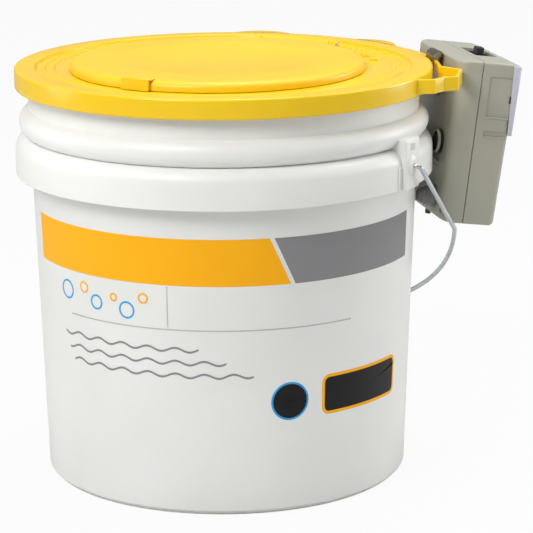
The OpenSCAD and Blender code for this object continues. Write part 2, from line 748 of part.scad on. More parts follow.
module pump_front_case() color([0.86, 0.85, 0.79]) pump_frame() difference() {
    union() {
        difference() {
            front_solid(0);
            difference() {
                translate([0, eps, 0]) front_solid(case_wall);
                // tray of the switch recess
                translate([-recess_w / 2 - case_wall, recess_y[0] - case_wall, switch_z - case_wall])
                    cube([recess_w + 2 * case_wall, recess_y[1] - recess_y[0] + 2 * case_wall, 20]);
                // ledges that the battery door runs on
                door_ledges();
            }
        }
        screw_places() along_y(-front_foot + case_wall / 2, 0, boss_r);
    }
    translate([-recess_w / 2, recess_y[0], switch_z])
        cube([recess_w, recess_y[1] - recess_y[0], recess_deep + 1]);
    translate([-knob_len / 2 - slot_gap, switch_y - knob_w / 2 - slot_gap, switch_z - case_wall - 1])
        cube([knob_len + knob_travel + 2 * slot_gap, knob_w + 2 * slot_gap, case_wall + 2]);
    screw_places() along_y(-front_foot + case_wall + 3, 1, screw_bore);
    side_recesses();
    door_region(door_gap);
    translate([tube_x, cell_y, -1]) cylinder(r = barb_r + 0.1, h = case_wall + 2);
}

// Two rails and a cross ledge behind the battery door, in the front wall's slope
module door_ledges() translate([0, -front_foot, 0]) rotate([front_draft, 0, 0]) {
    for (s = [-1, 1]) translate([s * door_w / 2 - 3, door_t + door_gap, 0]) cube([6, 2, door_h + 6]);
    translate([-door_w / 2, door_t + door_gap, door_h - 3]) cube([door_w, 2, 6]);
}

// Side view of the panel as [y, z]: its wrap round the case's corners deepens upwards
module panel_side() polygon([[-front_foot - panel_t - panel_from * front_slope, panel_from],
    [-front_foot + panel_wrap_foot - panel_from * front_slope, panel_from],
    [-front_foot + panel_wrap_top - panel_top * front_slope, panel_top],
    [-front_foot - panel_t - panel_top * front_slope, panel_top]]);

module front_panel() color([0.62, 0.62, 0.66]) pump_frame() difference() {
    intersection() {
        translate([-case_w / 2 - panel_side_t, 0, 0]) rotate([90, 0, 90])
            linear_extrude(case_w + 2 * panel_side_t) panel_side();
        // rounded upright edges
        linear_extrude(case_h) translate([0, front_top / 2 - front_top - panel_t])
            rounded_rect(case_w + 2 * panel_side_t, front_top, front_edge_r + panel_side_t);
    }
    front_solid(-fixed_gap);
}

module battery_door() color([0.84, 0.83, 0.77]) pump_frame() {
    intersection() {
        front_solid(0);
        door_region(0);
    }
    // finger ridges
    translate([0, -front_foot, 0]) rotate([front_draft, 0, 0])
        for (i = [0 : 3]) translate([-12, -0.8, door_h - 12 + i * 2.6]) cube([24, 1.4, 1.2]);
}

module spring_clip() color([0.5, 0.5, 0.5]) pump_frame() {
    difference() {
        union() {
            translate([clip_x, arch_y, arch_z]) along_x(-clip_w / 2, clip_w / 2, arch_r + clip_t);
            translate([clip_x - clip_w / 2, clip_y, arch_z - clip_back_leg])
                cube([clip_w, 2 * (arch_r + clip_t), clip_back_leg]);
        }
        translate([clip_x, arch_y, arch_z]) along_x(-clip_w, clip_w, arch_r);
        translate([clip_x - clip_w, arch_y - arch_r, arch_z - clip_back_leg - 1])
            cube([2 * clip_w, 2 * arch_r, clip_back_leg + 1]);
        // the free leg is shorter than the riveted one
        translate([clip_x - clip_w, arch_y, arch_z - clip_back_leg - 1])
            cube([2 * clip_w, 3 * arch_r, clip_back_leg + 1 - clip_leg]);
        for (s = [-1, 1]) translate([clip_x + s * rivet_x, 0, rivet_z])
            along_y(clip_y - 1, clip_y + clip_t + 1, rivet_r - 0.5);
    }
}

module clip_rivets() color([0.72, 0.72, 0.72]) pump_frame() for (s = [-1, 1])
    translate([clip_x + s * rivet_x, 0, rivet_z]) {
        along_y(back_at(rivet_z) - case_wall - rivet_head_t, clip_y + clip_t + rivet_head_t / 2,
            rivet_r - 0.55);
        along_y(clip_y + clip_t, clip_y + clip_t + rivet_head_t, rivet_r);
        along_y(back_at(rivet_z) - case_wall - rivet_head_t, back_at(rivet_z) - case_wall - fixed_gap,
            rivet_r);
    }

module case_screws() color([0.6, 0.6, 0.62]) pump_frame() screw_places() {
    along_y(-front_foot + case_wall + 5, back_foot - screw_head_t - 0.4, screw_r);
    difference() {
        translate([0, back_foot - screw_head_t - 0.4, 0]) along_y(0, screw_head_t, screw_head_r);
        translate([-4, back_foot - 1.2, -0.4]) cube([8, 2, 0.8]);
    }
}

// Bumpers: a stepped foot from the back face to the pail, at height up
module bumper(up, pail_out, steps) {
    face = back_at(up);
    reach = pump_r + up * sin(pump_lean) - face * cos(pump_lean)
        - sqrt(pow(pail_out, 2) - pow(bumper_side - bumper_tip_r, 2));
    length = reach / cos(pump_lean) - bumper_tip_r * tan(pump_lean) - bumper_gap;
    for (s = [-1, 1]) translate([s * bumper_side, back_at(up + bumper_r) + fixed_gap, up]) {
        along_y(0, bumper_flange_t, bumper_r);
        for (i = [1 : steps]) along_y(0, bumper_flange_t + (length - bumper_flange_t) * i / (steps + 1),
            bumper_r + (bumper_tip_r - bumper_r) * i / (steps + 1));
        along_y(0, length, bumper_tip_r);
    }
}

module upper_bumpers() color([0.07, 0.07, 0.07]) pump_frame()
    bumper(upper_bumper_up, collar_r, 1);

wall_at_bumper = base_r + (wall_top_r - base_r) * (pump_z + lower_bumper_up + bumper_tip_r + 3) / collar_z;

module lower_bumpers() color([0.55, 0.5, 0.42]) pump_frame()
    bumper(lower_bumper_up, wall_at_bumper, 3);

module switch_body() color([0.15, 0.15, 0.16]) pump_frame() difference() {
    translate([-knob_len / 2 - 4, switch_y - switch_w / 2, switch_z - case_wall - switch_h])
        cube([switch_l, switch_w, switch_h]);
    translate([-knob_len / 2 - slot_gap, switch_y - knob_w / 2 - slot_gap, switch_z - case_wall - 3])
        cube([knob_len + knob_travel + 2 * slot_gap, knob_w + 2 * slot_gap, 4]);
}

module switch_knob() color([0.05, 0.05, 0.05]) pump_frame()
    translate([-knob_len / 2, switch_y - knob_w / 2, switch_z - case_wall - 2.6])
        cube([knob_len, knob_w, knob_h + case_wall + 2.6]);

// Inside the case

module batteries() color([0.7, 0.55, 0.2]) pump_frame() for (s = [-1, 1])
    translate([s * cell_x, cell_y, cell_z]) {
        cylinder(r = cell_r, h = cell_len - nub_h);
        cylinder(r = nub_r, h = cell_len);
    }

// Points of a ring of wire round the spring's path
function coil_ring(i, n) = let (a = 360 * spring_turns * i / n,
    z = case_wall + spring_wire + (spring_h - 2 * spring_wire - 0.1) * i / n)
    [for (k = [0 : 5]) [(spring_r + spring_wire * cos(60 * k)) * cos(a),
        (spring_r + spring_wire * cos(60 * k)) * sin(a), z + spring_wire * sin(60 * k)]];

module coil() skinned([for (i = [0 : coil_steps]) coil_ring(i, coil_steps)]);

module battery_springs() color([0.8, 0.8, 0.82]) pump_frame() for (s = [-1, 1])
    translate([s * cell_x, cell_y, 0]) coil();

module contact_plates() color([0.8, 0.7, 0.35]) pump_frame()
    translate([-cell_x - 8, cell_y - 6, cell_z + cell_len + 0.2]) cube([2 * cell_x + 16, 12, plate_t]);

module motor() color([0.7, 0.7, 0.72]) pump_frame() translate([0, motor_y, motor_z]) difference() {
    along_x(motor_x[0], motor_x[0] + motor_len, motor_r);
    along_x(motor_x[0] + motor_len - 8, motor_x[0] + motor_len + 1, shaft_r + 0.1);
}

module motor_mount() color([0.2, 0.2, 0.22]) pump_frame() {
    base_z = shelf_z + shelf_t;
    difference() {
        translate([motor_x[0] + 3, motor_y - 9, base_z])
            cube([motor_len - 6, 18, motor_z - base_z - motor_r / 2]);
        translate([0, motor_y, motor_z]) along_x(-60, 60, motor_r + seat_gap);
    }
    // floor between the saddle and the rocker's cheeks
    translate([motor_x[0] + 3, motor_y - 9, base_z]) cube([pivot_x + 1 - motor_x[0], 18, 2]);
    for (s = [-1, 1]) difference() {
        translate([pivot_x - 4, motor_y + s * (arm_w / 2 + cheek_gap + cheek_t / 2) - cheek_t / 2, base_z])
            cube([8, cheek_t, arm_z + arm_t - base_z]);
        translate([pivot_x, motor_y, arm_z + arm_t / 2]) along_y(-arm_w, arm_w, pivot_pin_r + fixed_gap);
    }
}

module eccentric_shaft() color([0.8, 0.8, 0.82]) pump_frame() translate([0, motor_y, motor_z]) {
    along_x(motor_x[0] + motor_len - 7, ecc_x[1] + 2, shaft_r);
    translate([0, 0, -throw]) along_x(ecc_x[0], ecc_x[1], ecc_r);
}

module rocker_arm() color([0.9, 0.9, 0.88]) pump_frame() difference() {
    union() {
        translate([arm_x[0], motor_y - arm_w / 2, arm_z])
            cube([arm_x[1] - arm_x[0], arm_w, arm_t]);
        translate([chamber_x, motor_y, diaphragm_z + diaphragm_h + stud_gap])
            cylinder(r = stud_r, h = arm_z - diaphragm_z - diaphragm_h - stud_gap + 1);
    }
    translate([pivot_x, motor_y, arm_z + arm_t / 2]) along_y(-arm_w, arm_w, pivot_pin_r + pivot_gap);
}

module rocker_pin() color([0.8, 0.8, 0.82]) pump_frame()
    translate([pivot_x, motor_y, arm_z + arm_t / 2])
        along_y(-arm_w / 2 - cheek_gap - cheek_t, arm_w / 2 + cheek_gap + cheek_t, pivot_pin_r);

module diaphragm() color([0.1, 0.1, 0.1]) pump_frame()
    translate([chamber_x, motor_y, diaphragm_z]) difference() {
        union() {
            cylinder(r = diaphragm_r, h = 1.6);
            cylinder(r1 = diaphragm_r - 2, r2 = stud_r + 2, h = diaphragm_h);
        }
        translate([0, 0, -eps]) cylinder(r1 = diaphragm_r - 3.4, r2 = stud_r + 0.6, h = diaphragm_h - 1.6);
    }

module air_chamber() color([0.9, 0.9, 0.88]) pump_frame()
    translate([chamber_x, motor_y, chamber_z]) difference() {
        cylinder(r = diaphragm_r + 1, h = chamber_h);
        translate([0, 0, 2]) cylinder(r = diaphragm_r - 2.4, h = chamber_h);
        translate([tube_x - chamber_x, cell_y - motor_y, -1]) cylinder(r = tube_bore, h = 4);
    }

module air_tube() color([0.85, 0.88, 0.88]) pump_frame() translate([tube_x, cell_y, 0]) difference() {
    translate([0, 0, case_wall + 2]) cylinder(r = tube_r, h = chamber_z - case_wall - 2);
    translate([0, 0, case_wall]) cylinder(r = tube_bore, h = chamber_z);
}

module air_outlet() color([0.15, 0.15, 0.16]) pump_frame() translate([tube_x, cell_y, 0]) difference() {
    union() {
        translate([0, 0, barb_lead - barb_len])
            cylinder(r = barb_r, h = barb_len - barb_lead + case_wall + 2);
        translate([0, 0, -barb_len]) cylinder(r1 = barb_r - 0.4, r2 = barb_r, h = barb_lead);
        translate([0, 0, -outlet_flange_t - fixed_gap]) cylinder(r = barb_r + 2, h = outlet_flange_t);
        translate([0, 0, -outlet_flange_t - fixed_gap - outlet_root])
            cylinder(r1 = barb_r, r2 = barb_r + outlet_root, h = outlet_root);
    }
    translate([0, 0, -barb_len - 1]) cylinder(r = tube_bore - 0.2, h = barb_len + 20);
}

pail();
bail_wire();
bail_grip();
lid();
hatch();
hatch_hinge_pin();
pump_back_case();
pump_front_case();
front_panel();
battery_door();
spring_clip();
clip_rivets();
case_screws();
upper_bumpers();
lower_bumpers();
switch_body();
switch_knob();
batteries();
battery_springs();
contact_plates();
motor();
motor_mount();
eccentric_shaft();
rocker_arm();
rocker_pin();
diaphragm();
air_chamber();
air_tube();
air_outlet();
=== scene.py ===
"""Aerated bait bucket: the look of its pail, lid, hatch, bail and clip-on air pump.

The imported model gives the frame. Each sub-assembly below is a class that builds its pieces
in that frame and dresses them. Sizes are in millimetres and angles in degrees, unless a
comment says otherwise, and Blender's own lengths are in metres.
"""

from __future__ import annotations

import logging
import math
from dataclasses import dataclass, field
from enum import Enum
from typing import Iterable, Sequence

import bmesh
import bpy
from mathutils import Matrix, Vector

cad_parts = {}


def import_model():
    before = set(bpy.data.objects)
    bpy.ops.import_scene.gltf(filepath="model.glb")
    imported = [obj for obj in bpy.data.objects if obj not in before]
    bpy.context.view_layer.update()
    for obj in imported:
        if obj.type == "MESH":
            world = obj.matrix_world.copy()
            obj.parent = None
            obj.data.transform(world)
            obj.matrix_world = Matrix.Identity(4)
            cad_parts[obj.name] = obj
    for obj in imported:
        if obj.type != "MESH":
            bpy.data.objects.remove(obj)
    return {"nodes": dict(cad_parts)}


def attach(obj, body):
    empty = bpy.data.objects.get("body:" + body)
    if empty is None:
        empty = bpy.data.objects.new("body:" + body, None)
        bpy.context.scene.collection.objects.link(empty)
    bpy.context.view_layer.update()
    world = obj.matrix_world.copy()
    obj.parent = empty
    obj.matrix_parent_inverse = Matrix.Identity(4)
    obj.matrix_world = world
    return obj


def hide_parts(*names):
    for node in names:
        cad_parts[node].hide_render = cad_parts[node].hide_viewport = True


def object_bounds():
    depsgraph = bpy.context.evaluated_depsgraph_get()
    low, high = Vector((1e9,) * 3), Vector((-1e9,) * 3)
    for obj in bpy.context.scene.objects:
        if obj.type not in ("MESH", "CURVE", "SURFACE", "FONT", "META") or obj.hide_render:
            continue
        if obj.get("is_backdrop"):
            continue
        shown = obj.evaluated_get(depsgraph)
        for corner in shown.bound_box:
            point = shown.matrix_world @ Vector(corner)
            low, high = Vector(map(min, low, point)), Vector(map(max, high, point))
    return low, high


LOG = logging.getLogger("bait_bucket")
MM = 0.001
CREASE = 38.0  # an edge that turns further than this is sharp
FINE_CREASE = 30.0
CORNER_SHARE = 0.48  # share of an edge that one rounded corner may take
MITRE_FLOOR = 0.2  # keeps the mitre of a sharp corner short
RIM_STEPS = 3  # segments of a slab's rounded rim
MERGE_WITHIN = 0.002
SLIVER = 0.001
HAIR = 1e-6  # an edge shorter than this has no direction
SIDEWAYS = Matrix(((0, 0, 1, 0), (1, 0, 0, 0), (0, 1, 0, 0), (0, 0, 0, 1)))  # X to Y, Y to Z, Z to X

Point2 = tuple[float, float]
Point3 = tuple[float, float, float]
Colour = tuple[float, float, float]


class Body(str, Enum):
    """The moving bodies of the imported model."""

    BUCKET = "bucket"
    BAIL = "bail"
    GRIP = "grip"
    LID = "lid"
    HATCH = "hatch"
    PUMP = "pump"
    DOOR = "battery_door"
    SWITCH = "switch"
    SHAFT = "motor_shaft"
    ROCKER = "rocker"


# ---------------------------------------------------------------- profiles and outlines


def sin_deg(angle: float) -> float:
    """Sine of an angle in degrees."""
    return math.sin(math.radians(angle))


def cos_deg(angle: float) -> float:
    """Cosine of an angle in degrees."""
    return math.cos(math.radians(angle))


def at(x: float, y: float, z: float) -> Matrix:
    """A move."""
    return Matrix.Translation((x, y, z))


def turned(angle: float, axis: str) -> Matrix:
    """A turn about X, Y or Z."""
    return Matrix.Rotation(math.radians(angle), 4, axis)


def plan(radius: float, direction: float) -> Point2:
    """Point of the plan at a distance from the pail's axis and a direction from the lift tab."""
    return radius * sin_deg(direction), -radius * cos_deg(direction)


def rounded(corners: Sequence[tuple[float, ...]], closed: bool = True, steps: int = 4) -> list[Point2]:
    """Rounds the corners of a path.

    Args:
        corners: Corners as (x, y) or (x, y, radius).
        closed: Whether the path returns to its start.
        steps: Segments of each rounded corner.

    Returns:
        The points of the rounded path.
    """
    out: list[Point2] = []
    count = len(corners)
    for i, corner in enumerate(corners):
        here = Vector(corner[:2])
        radius = corner[2] if len(corner) > 2 else 0.0
        if radius <= 0 or (not closed and i in (0, count - 1)):
            out.append((here.x, here.y))
            continue
        back = Vector(corners[i - 1][:2]) - here
        ahead = Vector(corners[(i + 1) % count][:2]) - here
        turn = math.pi - back.angle(ahead)
        reach = min(radius * math.tan(turn / 2), CORNER_SHARE * back.length, CORNER_SHARE * ahead.length)
        start = here + back.normalized() * reach
        end = here + ahead.normalized() * reach
        for k in range(steps + 1):
            t = k / steps
            point = (1 - t) ** 2 * start + 2 * t * (1 - t) * here + t**2 * end
            out.append((point.x, point.y))
    return out


def arc(centre: Point2, radius: float, start: float, end: float, steps: int) -> list[Point2]:
    """Points of an arc.

    Args:
        centre: Middle of the arc.
        radius: Radius.
        start: First angle from +X.
        end: Last angle.
        steps: Number of segments.

    Returns:
        steps + 1 points.
    """
    angles = [start + (end - start) * k / steps for k in range(steps + 1)]
    return [(centre[0] + radius * cos_deg(a), centre[1] + radius * sin_deg(a)) for a in angles]


def quarter(centre: Point2, wide: float, high: float, steps: int = 8) -> list[Point2]:
    """Quarter of an ellipse from its right end to its top, round a middle point."""
    angles = [90 * k / steps for k in range(steps + 1)]
    return [(centre[0] + wide * cos_deg(a), centre[1] + high * sin_deg(a)) for a in angles]


def rounded_rect(wide: float, high: float, radius: float, steps: int = 5) -> list[Point2]:
    """Outline of a rounded rectangle round the origin, counter-clockwise.

    Args:
        wide: Size along X.
        high: Size along Y.
        radius: Radius of its corners.
        steps: Segments of each corner.

    Returns:
        The outline's points.
    """
    x, y = wide / 2, high / 2
    corners = [(x, y, radius), (-x, y, radius), (-x, -y, radius), (x, -y, radius)]
    return rounded(corners, steps=steps)


def inset(outline: Sequence[Point2], amount: float) -> list[Point2]:
    """Moves a counter-clockwise outline inwards, with mitred corners.

    Args:
        outline: The outline's points.
        amount: Distance inwards.

    Returns:
        As many points as the outline has.
    """
    out: list[Point2] = []
    count = len(outline)
    for i in range(count):
        a, b, c = (Vector(outline[(i + k) % count]) for k in (-1, 0, 1))
        first, second = (b - a), (c - b)
        if first.length < HAIR:
            first = second
        if second.length < HAIR:
            second = first
        n1 = Vector((-first.y, first.x)).normalized()
        n2 = Vector((-second.y, second.x)).normalized()
        point = b + (n1 + n2) / max(1 + n1.dot(n2), MITRE_FLOOR) * amount
        out.append((point.x, point.y))
    return out


def mitres(path: Sequence[Point2]) -> list[tuple[Vector, Vector]]:
    """Finds which way an open path's points move when a wall of even thickness follows it.

    Args:
        path: The path's points.

    Returns:
        Each point, with its move for one unit to the path's left.
    """
    points = [Vector(p) for p in path]
    out: list[tuple[Vector, Vector]] = []
    for i, here in enumerate(points):
        before = (here - points[i - 1]).normalized() if i else (points[1] - here).normalized()
        after = (points[i + 1] - here).normalized() if i < len(points) - 1 else before
        n1, n2 = Vector((-before.y, before.x)), Vector((-after.y, after.x))
        out.append((here, (n1 + n2) / (1 + n1.dot(n2))))
    return out


# ---------------------------------------------------------------- meshes


def smooth(mesh: bpy.types.Mesh, crease: float = CREASE) -> None:
    """Shades a mesh smooth, with edges past the crease angle sharp."""
    mesh.shade_smooth()
    mesh.set_sharp_from_angle(angle=math.radians(crease))


def add_piece(name: str, mesh: bpy.types.Mesh, crease: float = CREASE) -> bpy.types.Object:
    """Adds a smooth-shaded mesh to the scene.

    Args:
        name: Name of the piece.
        mesh: Its mesh, in metres.
        crease: Angle past which an edge is sharp.

    Returns:
        The object, at the origin.
    """
    smooth(mesh, crease)
    piece = bpy.data.objects.new(name, mesh)
    bpy.context.scene.collection.objects.link(piece)
    return piece


def mesh_piece(
    name: str,
    points: Sequence[Sequence[float]],
    faces: Sequence[Sequence[int]],
    place: Matrix | None = None,
    crease: float = CREASE,
) -> bpy.types.Object:
    """Makes an object from points in millimetres, with outward faces.

    Args:
        name: Name of the piece.
        points: Points in millimetres.
        faces: Faces as lists of point numbers.
        place: Matrix in millimetres that puts the points in the row frame.
        crease: Angle past which an edge is sharp.

    Returns:
        The object, at the origin, with its place in its mesh.
    """
    mesh = bpy.data.meshes.new(name)
    mesh.from_pydata([tuple(p) for p in points], [], [tuple(f) for f in faces])
    if place is not None:
        mesh.transform(place)
    work = bmesh.new()
    work.from_mesh(mesh)
    bmesh.ops.remove_doubles(work, verts=work.verts, dist=MERGE_WITHIN)
    bmesh.ops.dissolve_degenerate(work, edges=work.edges, dist=SLIVER)
    bmesh.ops.recalc_face_normals(work, faces=work.faces)
    work.to_mesh(mesh)
    work.free()
    mesh.transform(Matrix.Scale(MM, 4))
    return add_piece(name, mesh, crease)


def ring_faces(rings: int, size: int, loop: bool = False) -> list[list[int]]:
    """Faces between neighbouring rings whose points are numbered one ring after the other.

    Args:
        rings: Number of rings.
        size: Points in each ring.
        loop: Whether the last ring joins the first.

    Returns:
        The faces.
    """
    faces: list[list[int]] = []
    for i in range(rings if loop else rings - 1):
        j = (i + 1) % rings
        for k in range(size):
            m = (k + 1) % size
            faces.append([i * size + k, i * size + m, j * size + m, j * size + k])
    return faces


def loft(
    name: str, rings: Sequence[Sequence[Point3]], place: Matrix | None = None, crease: float = CREASE
) -> bpy.types.Object:
    """Skins rings of points and caps both ends.

    Args:
        name: Name of the piece.
        rings: Rings with the same number of points.
        place: Matrix in millimetres into the row frame.
        crease: Angle past which an edge is sharp.

    Returns:
        The object.
    """
    size = len(rings[0])
    faces = ring_faces(len(rings), size)
    faces.append(list(range(size)))
    faces.append([(len(rings) - 1) * size + k for k in reversed(range(size))])
    return mesh_piece(name, [p for ring in rings for p in ring], faces, place, crease)


def lathe(
    name: str, profile: Sequence[Sequence[float]], sides: int, place: Matrix | None = None, closed: bool = True
) -> bpy.types.Object:
    """Turns a profile about Z.

    Args:
        name: Name of the piece.
        profile: Points as (radius, z) or (radius, z, y of the ring's middle).
        sides: Number of sides.
        place: Matrix in millimetres into the row frame.
        closed: Whether the profile's last point joins its first.

    Returns:
        The object.
    """
    points: list[Point3] = []
    for radius, z, *shift in profile:
        middle = shift[0] if shift else 0.0
        for k in range(sides):
            a = 2 * math.pi * k / sides
            points.append((radius * math.sin(a), middle - radius * math.cos(a), z))
    return mesh_piece(name, points, ring_faces(len(profile), sides, closed), place)


def slab(
    name: str,
    outline: Sequence[Point2],
    low: float,
    high: float,
    round_low: float = 0.0,
    round_high: float = 0.0,
    place: Matrix | None = None,
) -> bpy.types.Object:
    """Raises an outline along Z, with rounded rims.

    Args:
        name: Name of the piece.
        outline: Counter-clockwise outline.
        low: Lower level.
        high: Upper level.
        round_low: Radius of the lower rim.
        round_high: Radius of the upper rim.
        place: Matrix in millimetres into the row frame.

    Returns:
        The object.
    """
    angles = [90 * k / RIM_STEPS for k in range(RIM_STEPS + 1)]
    levels = [(low, 0.0)]
    if round_low > 0:
        levels = [(low + round_low * (1 - cos_deg(a)), round_low * (1 - sin_deg(a))) for a in angles]
    if round_high > 0:
        levels += [(high - round_high * (1 - sin_deg(a)), round_high * (1 - cos_deg(a))) for a in angles]
    else:
        levels.append((high, 0.0))
    return loft(name, [[(x, y, z) for x, y in inset(outline, d)] for z, d in levels], place)


def block(
    name: str, size: Point3, centre: Point3, edge: float, place: Matrix | None = None, steps: int = 3
) -> bpy.types.Object:
    """Makes a block with rounded edges.

    Args:
        name: Name of the piece.
        size: Its three sizes.
        centre: Its middle.
        edge: Radius of its edges.
        place: Matrix in millimetres into the row frame.
        steps: Segments of each rounded edge.

    Returns:
        The object.
    """
    mesh = bpy.data.meshes.new(name)
    work = bmesh.new()
    bmesh.ops.create_cube(work, size=1.0)
    bmesh.ops.scale(work, vec=size, verts=work.verts)
    bmesh.ops.translate(work, vec=centre, verts=work.verts)
    if edge > 0:
        bmesh.ops.bevel(work, geom=list(work.edges), offset=edge, segments=steps, profile=0.5, affect="EDGES")
    if place is not None:
        bmesh.ops.transform(work, matrix=place, verts=work.verts)
    bmesh.ops.scale(work, vec=(MM, MM, MM), verts=work.verts)
    work.to_mesh(mesh)
    work.free()
    return add_piece(name, mesh)


def evaluated_mesh(piece: bpy.types.Object) -> bpy.types.Mesh:
    """Keeps what a piece's modifiers make.

    Args:
        piece: The piece.

    Returns:
        A plain copy of its evaluated mesh.
    """
    bpy.context.view_layer.update()
    graph = bpy.context.evaluated_depsgraph_get()
    seen = piece.evaluated_get(graph)
    return bpy.data.meshes.new_from_object(seen, preserve_all_data_layers=True, depsgraph=graph)


def carve(piece: bpy.types.Object, cutters: Iterable[bpy.types.Object], crease: float = CREASE) -> None:
    """Cuts other closed pieces out of a piece and removes them.

    Args:
        piece: The piece, which keeps its name.
        cutters: What is cut out of it.
        crease: Angle past which an edge is sharp.
    """
    tools = list(cutters)
    for tool in tools:
        cut = piece.modifiers.new("cut", "BOOLEAN")
        cut.operation = "DIFFERENCE"
        cut.solver = "EXACT"
        cut.object = tool
    mesh = evaluated_mesh(piece)
    piece.modifiers.clear()
    old = piece.data
    piece.data = mesh
    mesh.name = old.name
    bpy.data.meshes.remove(old)
    for tool in tools:
        bpy.data.objects.remove(tool)
    smooth(mesh, crease)


def joined(name: str, parts: Sequence[bpy.types.Object], crease: float = CREASE) -> bpy.types.Object:
    """Joins pieces into one object.

    Args:
        name: Name of the joined piece, which one of the parts may have had.
        parts: The pieces, which are removed.
        crease: Angle past which an edge is sharp.

    Returns:
        The object.
    """
    work = bmesh.new()
    for part in parts:
        work.from_mesh(part.data)
    mesh = bpy.data.meshes.new(name)
    work.to_mesh(mesh)
    work.free()
    for part in parts:
        bpy.data.objects.remove(part)
    return add_piece(name, mesh, crease)


def wire_along(
    name: str, path: Sequence[tuple[Vector, Vector]], radius: float, place: Matrix, sides: int = 20
) -> bpy.types.Object:
    """Makes a round wire along a path of the X-Y plane.

    Args:
        name: Name of the piece.
        path: Points, each with the wire's heading there.
        radius: Radius of the wire.
        place: Matrix in millimetres into the row frame.
        sides: Number of sides.

    Returns:
        The object.
    """
    rings = []
    for point, heading in path:
        across = Vector((-heading.y, heading.x, 0)).normalized()
        ring = []
        for k in range(sides):
            a = 2 * math.pi * k / sides
            ring.append(tuple(point + radius * (math.cos(a) * across + math.sin(a) * Vector((0, 0, 1)))))
        rings.append(ring)
    return loft(name, rings, place)


# ---------------------------------------------------------------- nodes


def add_node(
    tree: bpy.types.NodeTree, kind: str, inputs: dict[str | int, object] | None = None, **options: object
) -> bpy.types.Node:
    """Adds a node with its options set and its inputs linked or filled in.

    Args:
        tree: The tree.
        kind: Blender's name of the node's type.
        inputs: The socket or the value for each input, by name or number.
        options: Properties of the node.

    Returns:
        The node.
    """
    made = tree.nodes.new(kind)
    for key, value in options.items():
        setattr(made, key, value)
    for key, value in (inputs or {}).items():
        if isinstance(value, bpy.types.NodeSocket):
            tree.links.new(value, made.inputs[key])
        else:
            made.inputs[key].default_value = value
    return made


def maths(tree: bpy.types.NodeTree, operation: str, *numbers: object) -> bpy.types.NodeSocket:
    """The result of a Math node on numbers or sockets."""
    return add_node(tree, "ShaderNodeMath", dict(enumerate(numbers)), operation=operation).outputs[0]


def noise(
    tree: bpy.types.NodeTree, spot: bpy.types.NodeSocket, scale: object, detail: float = 2.0
) -> bpy.types.NodeSocket:
    """The pattern of a noise texture at a spot."""
    inputs = {"Vector": spot, "Scale": scale, "Detail": detail}
    return add_node(tree, "ShaderNodeTexNoise", inputs).outputs["Fac"]


def spread(
    tree: bpy.types.NodeTree, value: bpy.types.NodeSocket, low: object, high: object, to: Point2 = (0.0, 1.0)
) -> bpy.types.NodeSocket:
    """A value that runs from low to high, spread over another range."""
    inputs = {"Value": value, "From Min": low, "From Max": high, "To Min": to[0], "To Max": to[1]}
    return add_node(tree, "ShaderNodeMapRange", inputs).outputs[0]


class Recipe:
    """A geometry node tree with named inputs, whose result is kept as a plain mesh."""

    def __init__(self, name: str) -> None:
        """Starts an empty tree with one geometry output."""
        self.tree = bpy.data.node_groups.new(name, "GeometryNodeTree")
        self.tree.interface.new_socket(name="Geometry", in_out="OUTPUT", socket_type="NodeSocketGeometry")
        self.identifiers: dict[str, str] = {}
        self.inputs = self.tree.nodes.new("NodeGroupInput")

    def ask(self, name: str, kind: str, default: object = None) -> bpy.types.NodeSocket:
        """Adds a named input.

        Args:
            name: Name of the input.
            kind: Blender's socket type.
            default: Default value.

        Returns:
            The socket to link from.
        """
        item = self.tree.interface.new_socket(name=name, in_out="INPUT", socket_type=kind)
        if default is not None:
            item.default_value = default
        self.identifiers[name] = item.identifier
        return self.inputs.outputs[name]

    def node(self, kind: str, inputs: dict[str | int, object] | None = None) -> bpy.types.NodeSocket:
        """Adds a node with its inputs linked or filled in, and gives its first output."""
        return add_node(self.tree, kind, inputs).outputs[0]

    def maths(self, operation: str, *numbers: object) -> bpy.types.NodeSocket:
        """Adds a Math node on numbers or sockets."""
        return maths(self.tree, operation, *numbers)

    def tube(
        self, path: bpy.types.NodeSocket, radius: bpy.types.NodeSocket, sides: int
    ) -> bpy.types.NodeSocket:
        """Sweeps a circle along a curve and caps its ends."""
        circle = self.node("GeometryNodeCurvePrimitiveCircle", {"Resolution": sides, "Radius": radius})
        return self.node("GeometryNodeCurveToMesh", {"Curve": path, "Profile Curve": circle, "Fill Caps": True})

    def finish(self, geometry: bpy.types.NodeSocket) -> None:
        """Ends the tree in Realize Instances and Set Material.

        Args:
            geometry: What the tree has made.
        """
        material = self.ask("Material", "NodeSocketMaterial")
        real = self.node("GeometryNodeRealizeInstances", {"Geometry": geometry})
        dressed = self.node("GeometryNodeSetMaterial", {"Geometry": real, "Material": material})
        add_node(self.tree, "NodeGroupOutput", {"Geometry": dressed})

    def bake(
        self, name: str, material: bpy.types.Material, values: dict[str, object], place: Matrix | None = None
    ) -> bpy.types.Object:
        """Runs the tree and keeps its result as a plain mesh.

        Args:
            name: Name of the piece.
            material: Material of the piece.
            values: Input values by name.
            place: Matrix in millimetres into the row frame.

        Returns:
            The object.
        """
        host = bpy.data.objects.new(name, bpy.data.meshes.new(name + "_host"))
        bpy.context.scene.collection.objects.link(host)
        modifier = host.modifiers.new("recipe", "NODES")
        modifier.node_group = self.tree
        for key, value in {**values, "Material": material}.items():
            modifier[self.identifiers[key]] = value
        mesh = evaluated_mesh(host)
        bpy.data.objects.remove(host)
        if place is not None:
            mesh.transform(place)
        mesh.transform(Matrix.Scale(MM, 4))
        mesh.name = name
        return add_piece(name, mesh)


